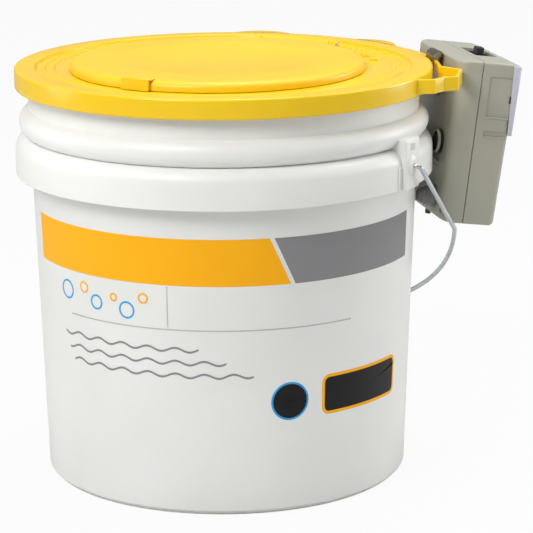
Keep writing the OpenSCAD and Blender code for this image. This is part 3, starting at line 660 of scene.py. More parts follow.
class RibRing(Recipe):
    """Blocks set round the Z axis over a range of directions, in radians."""

    def __init__(self) -> None:
        """Builds the tree."""
        super().__init__("rib_ring")
        count = self.ask("Count", "NodeSocketInt", 24)
        radius = self.ask("Radius", "NodeSocketFloat", 100.0)
        height = self.ask("Height", "NodeSocketFloat", 0.0)
        start = self.ask("Start", "NodeSocketFloat", 0.0)
        step = self.ask("Step", "NodeSocketFloat", 0.26)
        size = self.ask("Size", "NodeSocketVector", (1.0, 1.0, 1.0))
        index = self.node("GeometryNodeInputIndex")
        angle = self.maths("ADD", start, self.maths("MULTIPLY", index, step))
        x = self.maths("MULTIPLY", radius, self.maths("SINE", angle))
        y = self.maths("MULTIPLY", self.maths("MULTIPLY", radius, -1.0), self.maths("COSINE", angle))
        spot = self.node("ShaderNodeCombineXYZ", {"X": x, "Y": y, "Z": height})
        line = self.node("GeometryNodeMeshLine", {"Count": count})
        points = self.node("GeometryNodeSetPosition", {"Geometry": line, "Position": spot})
        turn = self.node("FunctionNodeEulerToRotation", {0: self.node("ShaderNodeCombineXYZ", {"Z": angle})})
        cube = self.node("GeometryNodeMeshCube", {"Size": size})
        ring = {"Points": points, "Instance": cube, "Rotation": turn}
        self.finish(self.node("GeometryNodeInstanceOnPoints", ring))


class BarRow(Recipe):
    """Round bars set in a straight row."""

    def __init__(self) -> None:
        """Builds the tree."""
        super().__init__("bar_row")
        count = self.ask("Count", "NodeSocketInt", 4)
        first = self.ask("First", "NodeSocketVector", (0.0, 0.0, 0.0))
        step = self.ask("Step", "NodeSocketVector", (0.0, 0.0, 1.0))
        length = self.ask("Length", "NodeSocketFloat", 10.0)
        radius = self.ask("Radius", "NodeSocketFloat", 0.6)
        points = self.node("GeometryNodeMeshLine", {"Count": count, "Start Location": first, "Offset": step})
        ends = {
            end: self.node("ShaderNodeCombineXYZ", {"X": self.maths("MULTIPLY", length, share)})
            for end, share in (("Start", 0.5), ("End", -0.5))}
        bar = self.tube(self.node("GeometryNodeCurvePrimitiveLine", ends), radius, 12)
        self.finish(self.node("GeometryNodeInstanceOnPoints", {"Points": points, "Instance": bar}))


class Coil(Recipe):
    """A wire wound round the Z axis."""

    def __init__(self) -> None:
        """Builds the tree."""
        super().__init__("coil")
        turns = self.ask("Turns", "NodeSocketFloat", 3.0)
        wide = self.ask("Foot Radius", "NodeSocketFloat", 5.0)
        narrow = self.ask("Top Radius", "NodeSocketFloat", 4.0)
        height = self.ask("Height", "NodeSocketFloat", 6.0)
        wire = self.ask("Wire Radius", "NodeSocketFloat", 0.5)
        spiral = self.node("GeometryNodeCurveSpiral", {
            "Resolution": 28, "Rotations": turns, "Start Radius": wide, "End Radius": narrow, "Height": height})
        self.finish(self.tube(spiral, wire, 10))


# ---------------------------------------------------------------- finishes


class ShaderKit:
    """Shared shader node groups: moulded grain, handling scuffs and a painted shade that darkens towards the foot.
    """

    hair_turn: Point3 = (0.4, 0.9, 0.3)  # radians
    hair_stretch: Point3 = (1.0, 14.0, 1.0)
    hair_span: Point2 = (0.66, 0.72)
    patch_scale: float = 26.0
    patch_span: Point2 = (0.48, 0.66)
    cloud_scale: float = 60.0

    def __init__(self) -> None:
        """Builds the groups once."""
        self.grain = self._grain()
        self.scuffs = self._scuffs()
        self.foot_shade = self._foot_shade()

    @staticmethod
    def _group(
        name: str, inputs: dict[str, float], outputs: Sequence[str]
    ) -> tuple[bpy.types.NodeTree, object]:
        """Starts a shader group with a vector input.

        Args:
            name: Name of the group.
            inputs: Its number inputs with their defaults.
            outputs: Its number outputs.

        Returns:
            The group and its inputs' sockets, by name.
        """
        group = bpy.data.node_groups.new(name, "ShaderNodeTree")
        group.interface.new_socket(name="Vector", in_out="INPUT", socket_type="NodeSocketVector")
        for key, value in inputs.items():
            item = group.interface.new_socket(name=key, in_out="INPUT", socket_type="NodeSocketFloat")
            item.default_value = value
        for key in outputs:
            group.interface.new_socket(name=key, in_out="OUTPUT", socket_type="NodeSocketFloat")
        return group, group.nodes.new("NodeGroupInput").outputs

    def _grain(self) -> bpy.types.NodeTree:
        """Fine moulded grain over a slow waviness."""
        group, given = self._group(
            "moulded_grain", {"Fine": 900.0, "Slow": 18.0, "Waviness": 0.5}, ("Height", "Shade"))
        fine = noise(group, given["Vector"], given["Fine"], 3.0)
        slow = noise(group, given["Vector"], given["Slow"])
        height = maths(group, "ADD", fine, maths(group, "MULTIPLY", slow, given["Waviness"]))
        add_node(group, "NodeGroupOutput", {"Height": height, "Shade": slow})
        return group

    def _scuffs(self) -> bpy.types.NodeTree:
        """Sparse hair scratches in rubbed patches."""
        group, given = self._group("handling_scuffs", {"Scale": 40.0, "Amount": 0.3}, ("Mask",))
        stretch = add_node(group, "ShaderNodeMapping", {
            "Vector": given["Vector"], "Rotation": self.hair_turn, "Scale": self.hair_stretch})
        hairs = spread(group, noise(group, stretch.outputs[0], given["Scale"], 4.0), *self.hair_span)
        patches = spread(group, noise(group, given["Vector"], self.patch_scale), *self.patch_span)
        mask = maths(group, "MULTIPLY", maths(group, "MULTIPLY", hairs, patches), given["Amount"])
        add_node(group, "NodeGroupOutput", {"Mask": mask})
        return group

    def _foot_shade(self) -> bpy.types.NodeTree:
        """Painted shade: a patchy darkening that fades upwards from a level, in metres."""
        group, given = self._group("settled_dust", {"Low": 0.0, "High": 0.05, "Amount": 0.2}, ("Mask",))
        height = add_node(group, "ShaderNodeSeparateXYZ", {0: given["Vector"]}).outputs["Z"]
        fade = spread(group, height, given["Low"], given["High"], (1.0, 0.0))
        cloud = noise(group, given["Vector"], self.cloud_scale, 5.0)
        mask = maths(group, "MULTIPLY", maths(group, "MULTIPLY", fade, cloud), given["Amount"])
        add_node(group, "NodeGroupOutput", {"Mask": mask})
        return group


# colour of the painted shade that darkens the pail's foot
FOOT_SHADE_COLOUR: Colour = (0.52, 0.48, 0.41)
TONE_SPAN: Point2 = (0.35, 0.65)  # of the slow grain, from the shade to the colour
SCUFF_DULLS = 0.3  # roughness that a full scuff adds
SHADE_DULLS = 0.2  # share of the slow grain that counts as a scuff
GRAIN_DEEP = 0.0004  # metres
COAT_ROUGH = 0.12
GLOW_SPREAD: Colour = (1.0, 0.7, 0.4)
GLOW_DEEP = 0.003  # metres


@dataclass(frozen=True)
class Finish:
    """One finish of the object, as the settings of its shader."""

    name: str
    colour: Colour
    shade: Colour
    roughness: float = 0.4
    metallic: float = 0.0
    fine: float = 900.0
    slow: float = 18.0
    waviness: float = 0.6
    bump: float = 0.05
    scuff: float = 0.25
    scuff_scale: float = 40.0
    coat: float = 0.0
    transmission: float = 0.0
    subsurface: float = 0.0
    specular: float = 0.5
    # strength and top level, in metres, of the painted shade towards the foot
    foot_shade: float = 0.0
    foot_shade_high: float = 0.04
    brushed: Point3 = (1.0, 1.0, 1.0)

    def build(self, kit: ShaderKit) -> bpy.types.Material:
        """Makes the material.

        Args:
            kit: The shared shader groups.

        Returns:
            The material.
        """
        material = bpy.data.materials.new(self.name)
        material.use_nodes = True
        tree = material.node_tree
        spot = add_node(tree, "ShaderNodeTexCoord").outputs["Object"]
        stretch = add_node(tree, "ShaderNodeMapping", {"Vector": spot, "Scale": self.brushed})
        grain = add_node(tree, "ShaderNodeGroup", {
            "Vector": stretch.outputs[0], "Fine": self.fine, "Slow": self.slow, "Waviness": self.waviness,
        }, node_tree=kit.grain)
        scuffs = add_node(tree, "ShaderNodeGroup", {
            "Vector": spot, "Scale": self.scuff_scale, "Amount": self.scuff}, node_tree=kit.scuffs)
        tone = add_node(tree, "ShaderNodeValToRGB", {"Fac": grain.outputs["Shade"]})
        for element, position, tint in zip(tone.color_ramp.elements, TONE_SPAN, (self.shade, self.colour)):
            element.position = position
            element.color = (*tint, 1.0)
        colour = tone.outputs["Color"]
        # painted shade: darkens the colour towards the foot
        if self.foot_shade > 0:
            foot_shade = add_node(tree, "ShaderNodeGroup", {
                "Vector": spot, "Low": 0.0, "High": self.foot_shade_high, "Amount": self.foot_shade}, node_tree=kit.foot_shade)
            colour = add_node(tree, "ShaderNodeMix", {
                "Factor": foot_shade.outputs["Mask"], "A": colour, "B": (*FOOT_SHADE_COLOUR, 1.0)},
                data_type="RGBA").outputs["Result"]
        dull = maths(tree, "MULTIPLY_ADD", grain.outputs["Shade"], SHADE_DULLS, scuffs.outputs["Mask"])
        rough = spread(tree, dull, 0.0, 1.0, (self.roughness, min(self.roughness + SCUFF_DULLS, 1.0)))
        bump = add_node(tree, "ShaderNodeBump", {
            "Strength": self.bump, "Distance": GRAIN_DEEP, "Height": grain.outputs["Height"]})
        shader = tree.nodes["Principled BSDF"]
        for key, source in (("Base Color", colour), ("Roughness", rough), ("Normal", bump.outputs[0])):
            tree.links.new(source, shader.inputs[key])
        for key, value in self.settings().items():
            shader.inputs[key].default_value = value
        return material

    def settings(self) -> dict[str, object]:
        """The shader's values that are the same all over the surface.

        Returns:
            The values by the socket's name.
        """
        values: dict[str, object] = {"Metallic": self.metallic, "Specular IOR Level": self.specular}
        if self.coat:
            values.update({"Coat Weight": self.coat, "Coat Roughness": COAT_ROUGH})
        if self.transmission:
            values["Transmission Weight"] = self.transmission
        if self.subsurface:
            values.update({"Subsurface Weight": self.subsurface, "Subsurface Radius": GLOW_SPREAD,
                           "Subsurface Scale": GLOW_DEEP})
        return values


class Skin(Enum):
    """The finishes that the object uses."""

    # the pail carries painted shade at its foot, up to 20 mm
    PAIL = Finish("pail_plastic", (0.88, 0.885, 0.86), (0.82, 0.825, 0.80), 0.36, fine=1400, slow=7,
                  waviness=1.4, bump=0.05, scuff=0.35, subsurface=0.12, foot_shade=0.10, foot_shade_high=0.02)
    GRIP = Finish("grip_plastic", (0.86, 0.865, 0.845), (0.79, 0.795, 0.77), 0.42, fine=1600, slow=30,
                  bump=0.06, scuff=0.5)
    LID = Finish("lid_plastic", (0.93, 0.62, 0.009), (0.89, 0.57, 0.006), 0.22, fine=1300, slow=9,
                 waviness=1.0, bump=0.015, scuff=0.2, subsurface=0.06)
    HATCH = Finish("hatch_plastic", (0.90, 0.60, 0.018), (0.87, 0.565, 0.013), 0.34, fine=1100, slow=12,
                   waviness=0.8, bump=0.02, scuff=0.3, subsurface=0.06)
    WIRE = Finish("galvanised_wire", (0.60, 0.64, 0.66), (0.53, 0.57, 0.59), 0.22, 1.0, fine=400, slow=60,
                  bump=0.02, scuff=0.25)
    CASE = Finish("case_plastic", (0.425, 0.42, 0.345), (0.40, 0.395, 0.325), 0.32, fine=2200, slow=14,
                  waviness=0.5, bump=0.16, scuff=0.25)
    DOOR = Finish("door_plastic", (0.42, 0.415, 0.34), (0.395, 0.39, 0.32), 0.36, fine=2200, slow=20,
                  waviness=0.5, bump=0.16, scuff=0.4)
    PANEL = Finish("panel_plastic", (0.62, 0.61, 0.71), (0.58, 0.57, 0.66), 0.35, fine=1800, slow=16,
                   bump=0.12, scuff=0.35)
    CLIP = Finish("spring_steel", (0.34, 0.32, 0.30), (0.24, 0.215, 0.19), 0.22, 1.0, fine=300, slow=60,
                  bump=0.05, scuff=0.6, brushed=(1.0, 1.0, 8.0))
    STEEL = Finish("bright_steel", (0.66, 0.66, 0.67), (0.52, 0.52, 0.54), 0.22, 1.0, fine=700, slow=90,
                   bump=0.05, scuff=0.5)
    CAN = Finish("motor_can", (0.55, 0.55, 0.57), (0.45, 0.45, 0.47), 0.3, 1.0, fine=500, slow=40,
                 bump=0.04, scuff=0.4, brushed=(1.0, 1.0, 5.0))
    BRASS = Finish("contact_brass", (0.66, 0.50, 0.22), (0.52, 0.38, 0.16), 0.3, 1.0, fine=600, slow=70,
                   bump=0.05, scuff=0.5)
    RUBBER = Finish("black_rubber", (0.022, 0.021, 0.02), (0.014, 0.013, 0.012), 0.62, fine=2000, slow=40,
                    bump=0.2, scuff=0.2, specular=0.35)
    CLEAR = Finish("clear_rubber", (0.34, 0.33, 0.32), (0.26, 0.25, 0.24), 0.22, fine=800, slow=50,
                   bump=0.05, scuff=0.2, transmission=0.4)
    BLACK = Finish("black_plastic", (0.03, 0.03, 0.032), (0.02, 0.02, 0.022), 0.45, fine=2000, slow=40,
                   bump=0.14, scuff=0.35)
    WORKS = Finish("works_plastic", (0.74, 0.74, 0.70), (0.68, 0.68, 0.64), 0.42, fine=1600, slow=30,
                   bump=0.07, scuff=0.2)
    CELL = Finish("battery_jacket", (0.05, 0.05, 0.055), (0.035, 0.035, 0.04), 0.3, 0.1, fine=900, slow=40,
                  bump=0.03, scuff=0.4, coat=0.3)
    CELL_BAND = Finish("battery_band", (0.62, 0.36, 0.13), (0.52, 0.30, 0.10), 0.28, 0.7, fine=900, slow=40,
                       bump=0.03, scuff=0.4, coat=0.3)
    INK_ORANGE = Finish("orange_print", (1.0, 0.46, 0.006), (0.985, 0.44, 0.005), 0.5, fine=2600, slow=10,
                        bump=0.03, scuff=0.25, specular=0.2)
    INK_GREY = Finish("grey_print", (0.262, 0.258, 0.268), (0.25, 0.247, 0.257), 0.45, fine=2600, slow=10,
                      bump=0.03, scuff=0.25, specular=0.2)
    INK_DARK = Finish("dark_print", (0.012, 0.011, 0.012), (0.010, 0.009, 0.010), 0.45, fine=2600, slow=10,
                      bump=0.03, scuff=0.2, specular=0.2)
    INK_BLUE = Finish("blue_print", (0.03, 0.36, 0.74), (0.028, 0.34, 0.70), 0.45, fine=2600, slow=10,
                      bump=0.03, scuff=0.2, specular=0.2)


@dataclass
class Workshop:
    """What every sub-assembly needs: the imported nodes, the finishes and the recipes."""

    nodes: dict[str, bpy.types.Object]
    kit: ShaderKit = field(default_factory=ShaderKit)
    materials: dict[Skin, bpy.types.Material] = field(default_factory=dict)
    ribs: RibRing = field(default_factory=RibRing)
    bars: BarRow = field(default_factory=BarRow)
    coil: Coil = field(default_factory=Coil)

    def skin(self, skin: Skin) -> bpy.types.Material:
        """The material of a finish, built when it is first asked for."""
        if skin not in self.materials:
            self.materials[skin] = skin.value.build(self.kit)
        return self.materials[skin]

    def dress(self, piece: bpy.types.Object, skin: Skin, body: Body, slot: str) -> bpy.types.Object:
        """Gives a piece its finish and its body.

        Args:
            piece: The piece.
            skin: Its finish.
            body: The body that it rides on.
            slot: The record's material slot; not used.

        Returns:
            The same piece.
        """
        piece.data.materials.clear()
        piece.data.materials.append(self.skin(skin))
        for polygon in piece.data.polygons:
            polygon.material_index = 0
        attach(piece, body.value)
        LOG.info("%s rides on %s", piece.name, body.value)
        return piece

    def dress_node(self, node: str, skin: Skin) -> None:
        """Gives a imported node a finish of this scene."""
        piece = self.nodes[node]
        for place in piece.material_slots:
            place.material = self.skin(skin)
        if not piece.material_slots:
            piece.data.materials.append(self.skin(skin))


# ---------------------------------------------------------------- pail


@dataclass
class Pail:
    """The pail with its collar, bead, rim, ribs, ears and printed bands."""

    shop: Workshop
    base_r: float = 135.4
    wall_top_r: float = 143.0
    wall: float = 2.4
    floor_t: float = 3.2
    collar_z: float = 227.5
    collar_top: float = 246.3
    collar_r: float = 155.0
    slope_top: float = 256.5
    neck_r: float = 145.0
    bead_z: float = 266.3
    bead_mid: float = 141.64
    bead_arc: float = 10.36
    rim_z: float = 303.6
    rim_h: float = 8.0
    rim_r: float = 150.4
    ear_w: float = 21.0
    ear_h: float = 37.0
    ear_r: float = 158.0
    pivot_z: float = 244.5
    boss_r: float = 7.0
    boss_out: float = 1.6
    bore_r: float = 1.8
    ear_ribs: tuple[float, ...] = (12.3, 14.6, -12.3, -14.6)
    ear_marks: int = 4
    ear_mark_y: float = -3.4
    ribs: int = 24

    def wall_r(self, z: float) -> float:
        """Outer radius of the wall at a height."""
        return self.base_r + (self.wall_top_r - self.base_r) * z / self.collar_z

    def profile(self) -> list[Point2]:
        """The closed section of the pail, from the middle of its base round to the floor."""
        inner_neck = self.neck_r - self.wall
        bead_in = self.bead_arc - self.wall
        inner_turn = math.degrees(math.acos((inner_neck - self.bead_mid) / bead_in))
        outer_turn = math.degrees(math.acos((self.neck_r - self.bead_mid) / self.bead_arc))
        out = self.collar_r - self.neck_r
        rise = self.slope_top - self.collar_top
        foot = rounded(
            [(0, 0), (self.base_r - 3.5, 0, 1.4), (self.base_r, 3.5, 2.6), (self.wall_top_r, self.collar_z),
             (self.neck_r, self.collar_z + 4), (self.neck_r, self.slope_top - self.wall)], closed=False)
        under = quarter((self.neck_r, self.collar_top), out - self.wall, rise - self.wall)
        skirt = rounded(
            [(self.collar_r - self.wall, self.collar_top), (self.collar_r - self.wall, self.collar_z, 0.9),
             (self.collar_r, self.collar_z, 1.1), (self.collar_r, self.collar_top)], closed=False)
        over = quarter((self.neck_r, self.collar_top), out, rise, 12)
        bead = arc((self.bead_mid, self.bead_z), self.bead_arc, -outer_turn, outer_turn, 20)
        lip = rounded(
            [(self.neck_r, self.bead_z + 12), (self.neck_r, self.rim_z - self.wall, 0.5),
             (self.rim_r - self.wall, self.rim_z - self.wall, 0.5),
             (self.rim_r - self.wall, self.rim_z - self.rim_h, 0.8),
             (self.rim_r, self.rim_z - self.rim_h, 0.8), (self.rim_r, self.rim_z, 1.8),
             (inner_neck, self.rim_z, 1.0), (inner_neck, self.bead_z + 9)], closed=False)
        inner_bead = arc((self.bead_mid, self.bead_z), bead_in, inner_turn, -inner_turn, 16)
        inside = rounded(
            [(inner_neck, self.bead_z - 9), (inner_neck, self.collar_z + 4, 2),
             (self.wall_top_r - self.wall, self.collar_z, 2),
             (self.base_r - self.wall, self.floor_t, 5), (0, self.floor_t)], closed=False)
        return foot + list(reversed(under)) + skirt[1:-1] + over + bead + lip + inner_bead + inside

    def ear(self, side: float) -> bpy.types.Object:
        """One ear: a hollow block with a raised boss round the bail's hole.

        Args:
            side: 1 for +X and -1 for -X.

        Returns:
            The ear.
        """
        turn = turned(0 if side > 0 else 180, "Z")
        low = self.neck_r - 1.2
        body = block("ear_block", (self.ear_r - low, self.ear_w, self.ear_h),
                     ((self.ear_r + low) / 2, 0, self.collar_z + self.ear_h / 2), 1.5, turn, 4)
        deep, tall = self.ear_r - 4, self.ear_h - 1.4
        pocket = block("ear_pocket", (deep - self.neck_r, self.ear_w - 4.8, tall),
                       ((deep + self.neck_r) / 2, 0, self.collar_z - 1 + tall / 2), 0.8, turn)
        to_x = turn @ at(0, 0, self.pivot_z) @ turned(90, "Y")
        bore = lathe("ear_bore", [(0, 140), (self.bore_r, 140), (self.bore_r, 162), (0, 162)], 48, to_x, False)
        carve(body, [pocket, bore])
        face = self.ear_r
        boss = lathe("ear_boss", rounded(
            [(self.bore_r, face - 3), (self.boss_r + 1.2, face - 3), (self.boss_r + 1.2, face - 0.02),
             (self.boss_r, face + self.boss_out * 0.55, 0.8), (self.boss_r - 2.2, face + self.boss_out, 1.2),
             (self.bore_r + 0.4, face + self.boss_out, 0.3),
             (self.bore_r, face + self.boss_out - 0.5, 0.2)]), 48, to_x)
        parts = [body, boss]
        for across in self.ear_ribs:
            centre = (self.collar_r - 1.2, across, self.collar_z + 9.2)
            parts.append(block("ear_rib", (3.2, 1.0, 17.0), centre, 0.35, turn, 2))
        for k in range(self.ear_marks):
            centre = (self.ear_r + 0.1, side * (self.ear_mark_y + 2.0 * k), self.collar_z + 31.0)
            parts.append(block("ear_mark", (0.9, 0.9, 5.0), centre, 0.2, turn, 2))
        return joined("ear_plus_x" if side > 0 else "ear_minus_x", parts)

    def build(self) -> None:
        """Builds and dresses the pail."""
        shell = lathe("pail_shell", self.profile(), 256)
        ribs = self.shop.ribs.bake(
            "collar_ribs", self.shop.skin(Skin.PAIL),
            {"Count": self.ribs, "Radius": 148.4, "Height": 237.4, "Start": math.radians(7.5),
             "Step": 2 * math.pi / self.ribs, "Size": (1.8, 9.4, 17.6)})
        pieces = [shell, ribs, self.ear(1), self.ear(-1)]
        for piece in pieces:
            self.shop.dress(piece, Skin.PAIL, Body.BUCKET, "pail_plastic")
        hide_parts("pail")


@dataclass
class Prints:
    """The plain bands, rules and bubbles printed on the pail's front."""

    shop: Workshop
    pail: Pail
    centre: float = 31.5
    proud: float = 0.10

    def on_wall(self, direction: float, z: float, out: float) -> Point3:
        """A point near the wall, from a direction off the prints' middle and a height."""
        x, y = plan(self.pail.wall_r(z) + out, self.centre + direction)
        return x, y, z

    def patch(self, name: str, rows: Sequence[Sequence[Point2]], skin: Skin) -> bpy.types.Object:
        """A thin closed skin over rows of (direction, height) points.

        Args:
            name: Name of the piece.
            rows: Rows with the same number of points.
            skin: Its finish.

        Returns:
            The patch.
        """
        wide, high = len(rows[0]), len(rows)
        points: list[Point3] = []
        for out in (self.proud, -0.3):
            points += [self.on_wall(a, z, out) for row in rows for a, z in row]
        back = wide * high
        faces: list[list[int]] = []
        for j in range(high - 1):
            for i in range(wide - 1):
                quad = [j * wide + i, j * wide + i + 1, (j + 1) * wide + i + 1, (j + 1) * wide + i]
                faces.append(quad)
                faces.append([back + k for k in reversed(quad)])
        rim = [i for i in range(wide)] + [j * wide + wide - 1 for j in range(1, high)]
        rim += [(high - 1) * wide + i for i in reversed(range(wide - 1))]
        rim += [j * wide for j in reversed(range(1, high - 1))]
        for k, first in enumerate(rim):
            second = rim[(k + 1) % len(rim)]
            faces.append([first, back + first, back + second, second])
        piece = mesh_piece(name, points, faces, crease=FINE_CREASE)
        return self.shop.dress(piece, skin, Body.BUCKET, "pail_plastic")

    def band(self, name: str, left: Point2, right: Point2, low: float, high: float, skin: Skin) -> None:
        """A band between two slanted ends, each given as its direction at the low and high level."""
        rows = []
        for j in range(5):
            t = j / 4
            start = left[0] + (left[1] - left[0]) * t
            end = right[0] + (right[1] - right[0]) * t
            rows.append([(start + (end - start) * i / 72, low + (high - low) * t) for i in range(73)])
        self.patch(name, rows, skin)

    def ring(self, name: str, direction: float, z: float, outer: float, inner: float, skin: Skin) -> None:
        """A printed ring or, with no inner radius, a disc."""
        rows = []
        per_mm = math.degrees(1 / self.pail.wall_r(z))
        for j in range(3):
            radius = inner + (outer - inner) * j / 2
            rows.append([
                (direction + radius * cos_deg(360 * i / 48) * per_mm, z + radius * sin_deg(360 * i / 48))
                for i in range(49)])
        self.patch(name, rows, skin)

    def build(self) -> None:
        """Builds the prints."""
        self.band("band_orange", (-71.0, -71.0), (19.0, 12.6), 171.0, 205.0, Skin.INK_ORANGE)
        self.band("band_grey", (20.4, 14.0), (69.0, 69.0), 171.0, 205.0, Skin.INK_GREY)
        rule = {"Height": 0.0, "Radius": 0.0, "Size": (0.9, 0.4, 0.9)}
        dots = self.shop.ribs.bake("rule_across", self.shop.skin(Skin.INK_GREY), {
            **rule, "Count": 118, "Radius": self.pail.wall_r(138.6) - 0.1, "Height": 138.6,
            "Start": math.radians(self.centre - 52.0), "Step": math.radians(0.78)})
        self.shop.dress(dots, Skin.INK_GREY, Body.BUCKET, "pail_plastic")
        for k in range(17):
            z = 141.0 + 1.75 * k
            self.band(f"rule_up_{k:02d}", (-17.2, -17.2), (-16.85, -16.85), z, z + 0.8, Skin.INK_GREY)
        bubbles = [(-54, 156, 7.2), (-46, 161, 4.4), (-41, 152, 5.6),
                   (-34.5, 158, 3.2), (-30, 150, 6.4), (-24.5, 160, 4.0)]
        for k, (direction, z, radius) in enumerate(bubbles):
            ink = Skin.INK_ORANGE if k % 2 else Skin.INK_BLUE
            self.ring(f"bubble_{k}", direction, z, radius, radius - 1.3, ink)
        for k, z in enumerate((124.0, 114.5, 105.0)):
            self.wave(f"wave_{k}", -56.0 + 2 * k, -8.0 + 8 * k, z)
        self.ring("disc_rim", 19.1, 84.2, 14.2, 12.8, Skin.INK_BLUE)
        self.ring("disc_field", 19.1, 84.2, 12.8, 0.0, Skin.INK_DARK)
        self.card("card_rim", (46.2, 85.2), (80.0, 30.0, 7.0), 2.2, Skin.INK_ORANGE)
        self.card("card_field", (46.2, 85.2), (75.6, 25.6, 4.8), None, Skin.INK_DARK)

    def card(self, name: str, middle: Point2, size: Point3, rim: float | None, skin: Skin) -> None:
        """A printed rounded rectangle or, with a rim width, its plain border.

        Args:
            name: Name of the piece.
            middle: Direction and height of its middle.
            size: Width, height and corner radius.
            rim: Width of the border, or None for the whole field.
            skin: Its finish.
        """
        per_mm = math.degrees(1 / self.pail.wall_r(middle[1]))
        rough = rounded_rect(*size, steps=6)
        outline: list[Point2] = []
        for i, start in enumerate(rough):
            end = rough[(i + 1) % len(rough)]
            cuts = max(1, round(math.dist(start, end) / 4))
            outline += [
                (start[0] + (end[0] - start[0]) * k / cuts, start[1] + (end[1] - start[1]) * k / cuts)
                for k in range(cuts)]
        rows = []
        steps = 2 if rim else 12
        for j in range(steps + 1):
            ring = inset(outline, rim * j / steps) if rim else outline
            scale = 1.0 if rim else 1.0 - j / steps
            row = [(middle[0] + x * scale * per_mm, middle[1] + y * scale) for x, y in ring]
            rows.append(row + [row[0]])
        self.patch(name, rows, skin)

    def wave(self, name: str, start: float, end: float, z: float) -> None:
        """A thin rippled line from one direction to another."""
        steps = int(abs(end - start) * 2.2)
        rows = []
        for edge in (-0.75, 0.75):
            row = []
            for i in range(steps + 1):
                a = start + (end - start) * i / steps
                row.append((a, z + 1.5 * sin_deg(a * 42) + edge))
            rows.append(row)
        self.patch(name, rows, Skin.INK_GREY)


# ---------------------------------------------------------------- bail


@dataclass
class Bail:
    """The wire bail and its rolling grip."""

    shop: Workshop
    pail: Pail
    wire_r: float = 1.7
    head_x: float = 152.0
    leg_x: float = 163.6
    leg_len: float = 81.0
    elbow_r: float = 3.8
    shoulder_deg: float = 20.0
    shoulder_r: float = 8.0
    sweep_r: float = 230.0
    sweep_end_deg: float = 50.0
    hang_deg: float = 45.0
    seat_x: float = 48.3
    grip_bend_r: float = 14.0
    grip_len: float = 88.0
    grip_r: float = 11.6

    def plane(self) -> Matrix:
        """The plane of the bail: X across the pail, Y away from the pivots."""
        return at(0, 0, self.pail.pivot_z) @ turned(-self.hang_deg, "X")

    def side(self) -> tuple[list[tuple[Vector, Vector]], float]:
        """Half of the wire's path with its headings, and the bail's length."""
        path: list[tuple[Vector, Vector]] = [(Vector((self.head_x, 0, 0)), Vector((1, 0, 0)))]

        def bend(x: float, y: float, r: float, first: float, last: float, steps: int) -> None:
            """Adds a bend to the left round a middle point."""
            for k in range(steps + 1):
                h = first + (last - first) * k / steps
                spot = Vector((x + r * sin_deg(h), y - r * cos_deg(h), 0))
                path.append((spot, Vector((cos_deg(h), sin_deg(h), 0))))

        cut = self.shoulder_r * math.tan(math.radians(self.shoulder_deg / 2))
        s, e = self.shoulder_deg, self.sweep_end_deg
        mid_x = self.leg_x - cut * sin_deg(s) - self.sweep_r * cos_deg(s)
        mid_y = self.leg_len + cut * cos_deg(s) - self.sweep_r * sin_deg(s)
        sweep_x = mid_x + self.sweep_r * cos_deg(e)
        sweep_y = mid_y + self.sweep_r * sin_deg(e)
        line_x = self.seat_x + self.grip_bend_r * cos_deg(e)
        line = (sweep_x - line_x) / sin_deg(e)
        length = sweep_y + line * cos_deg(e) + self.grip_bend_r * (1 - sin_deg(e))
        bend(self.leg_x - self.elbow_r, self.elbow_r, self.elbow_r, 0, 90, 10)
        bend(self.leg_x - self.shoulder_r, self.leg_len - cut, self.shoulder_r, 90, 90 + s, 5)
        bend(mid_x, mid_y, self.sweep_r, 90 + s, 90 + e, 28)
        bend(self.seat_x, length - self.grip_bend_r, self.grip_bend_r, 90 + e, 180, 8)
        return path, length

    def build(self) -> None:
        """Builds the wire, its heads and the grip."""
        right, length = self.side()
        left = [(Vector((-p.x, p.y, 0)), Vector((h.x, -h.y, 0))) for p, h in reversed(right)]
        wire = wire_along("wire_loop", right + left, self.wire_r, self.plane())
        parts = [wire]
        for side in (1, -1):
            turn = self.plane() @ turned(side * 90, "Y")
            parts.append(lathe("wire_head", rounded(
                [(0, self.head_x - 0.3), (2.2, self.head_x - 0.3, 0.5), (2.7, self.head_x + 0.6, 0.5),
                 (2.3, self.head_x + 1.6, 0.4), (0, self.head_x + 1.6)], closed=False), 32, turn, False))
        self.shop.dress(joined("bail_loop", parts), Skin.WIRE, Body.BAIL, "wire")
        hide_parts("bail_wire")
        half = self.grip_len / 2
        section: list[tuple[float, ...]] = [(1.8, -half, 0.2), (self.grip_r - 1.0, -half, 0.8)]
        lands = 5
        pitch = self.grip_len / lands
        for k in range(lands):
            low = -half + k * pitch
            section += [(self.grip_r, low + 1.2, 0.9), (self.grip_r, low + pitch - 2.4, 1.2),
                        (self.grip_r - 1.5, low + pitch - 1.6, 0.9)]
            if k < lands - 1:
                section.append((self.grip_r - 1.5, low + pitch - 0.2, 0.9))
        section += [(self.grip_r - 1.0, half, 0.8), (1.8, half, 0.2)]
        turn = self.plane() @ at(0, length, 0) @ turned(90, "Y")
        grip = lathe("grip_tube", rounded(section), 72, turn)
        self.shop.dress(grip, Skin.GRIP, Body.GRIP, "pail_plastic")
        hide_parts("bail_grip")


# ---------------------------------------------------------------- lid and hatch


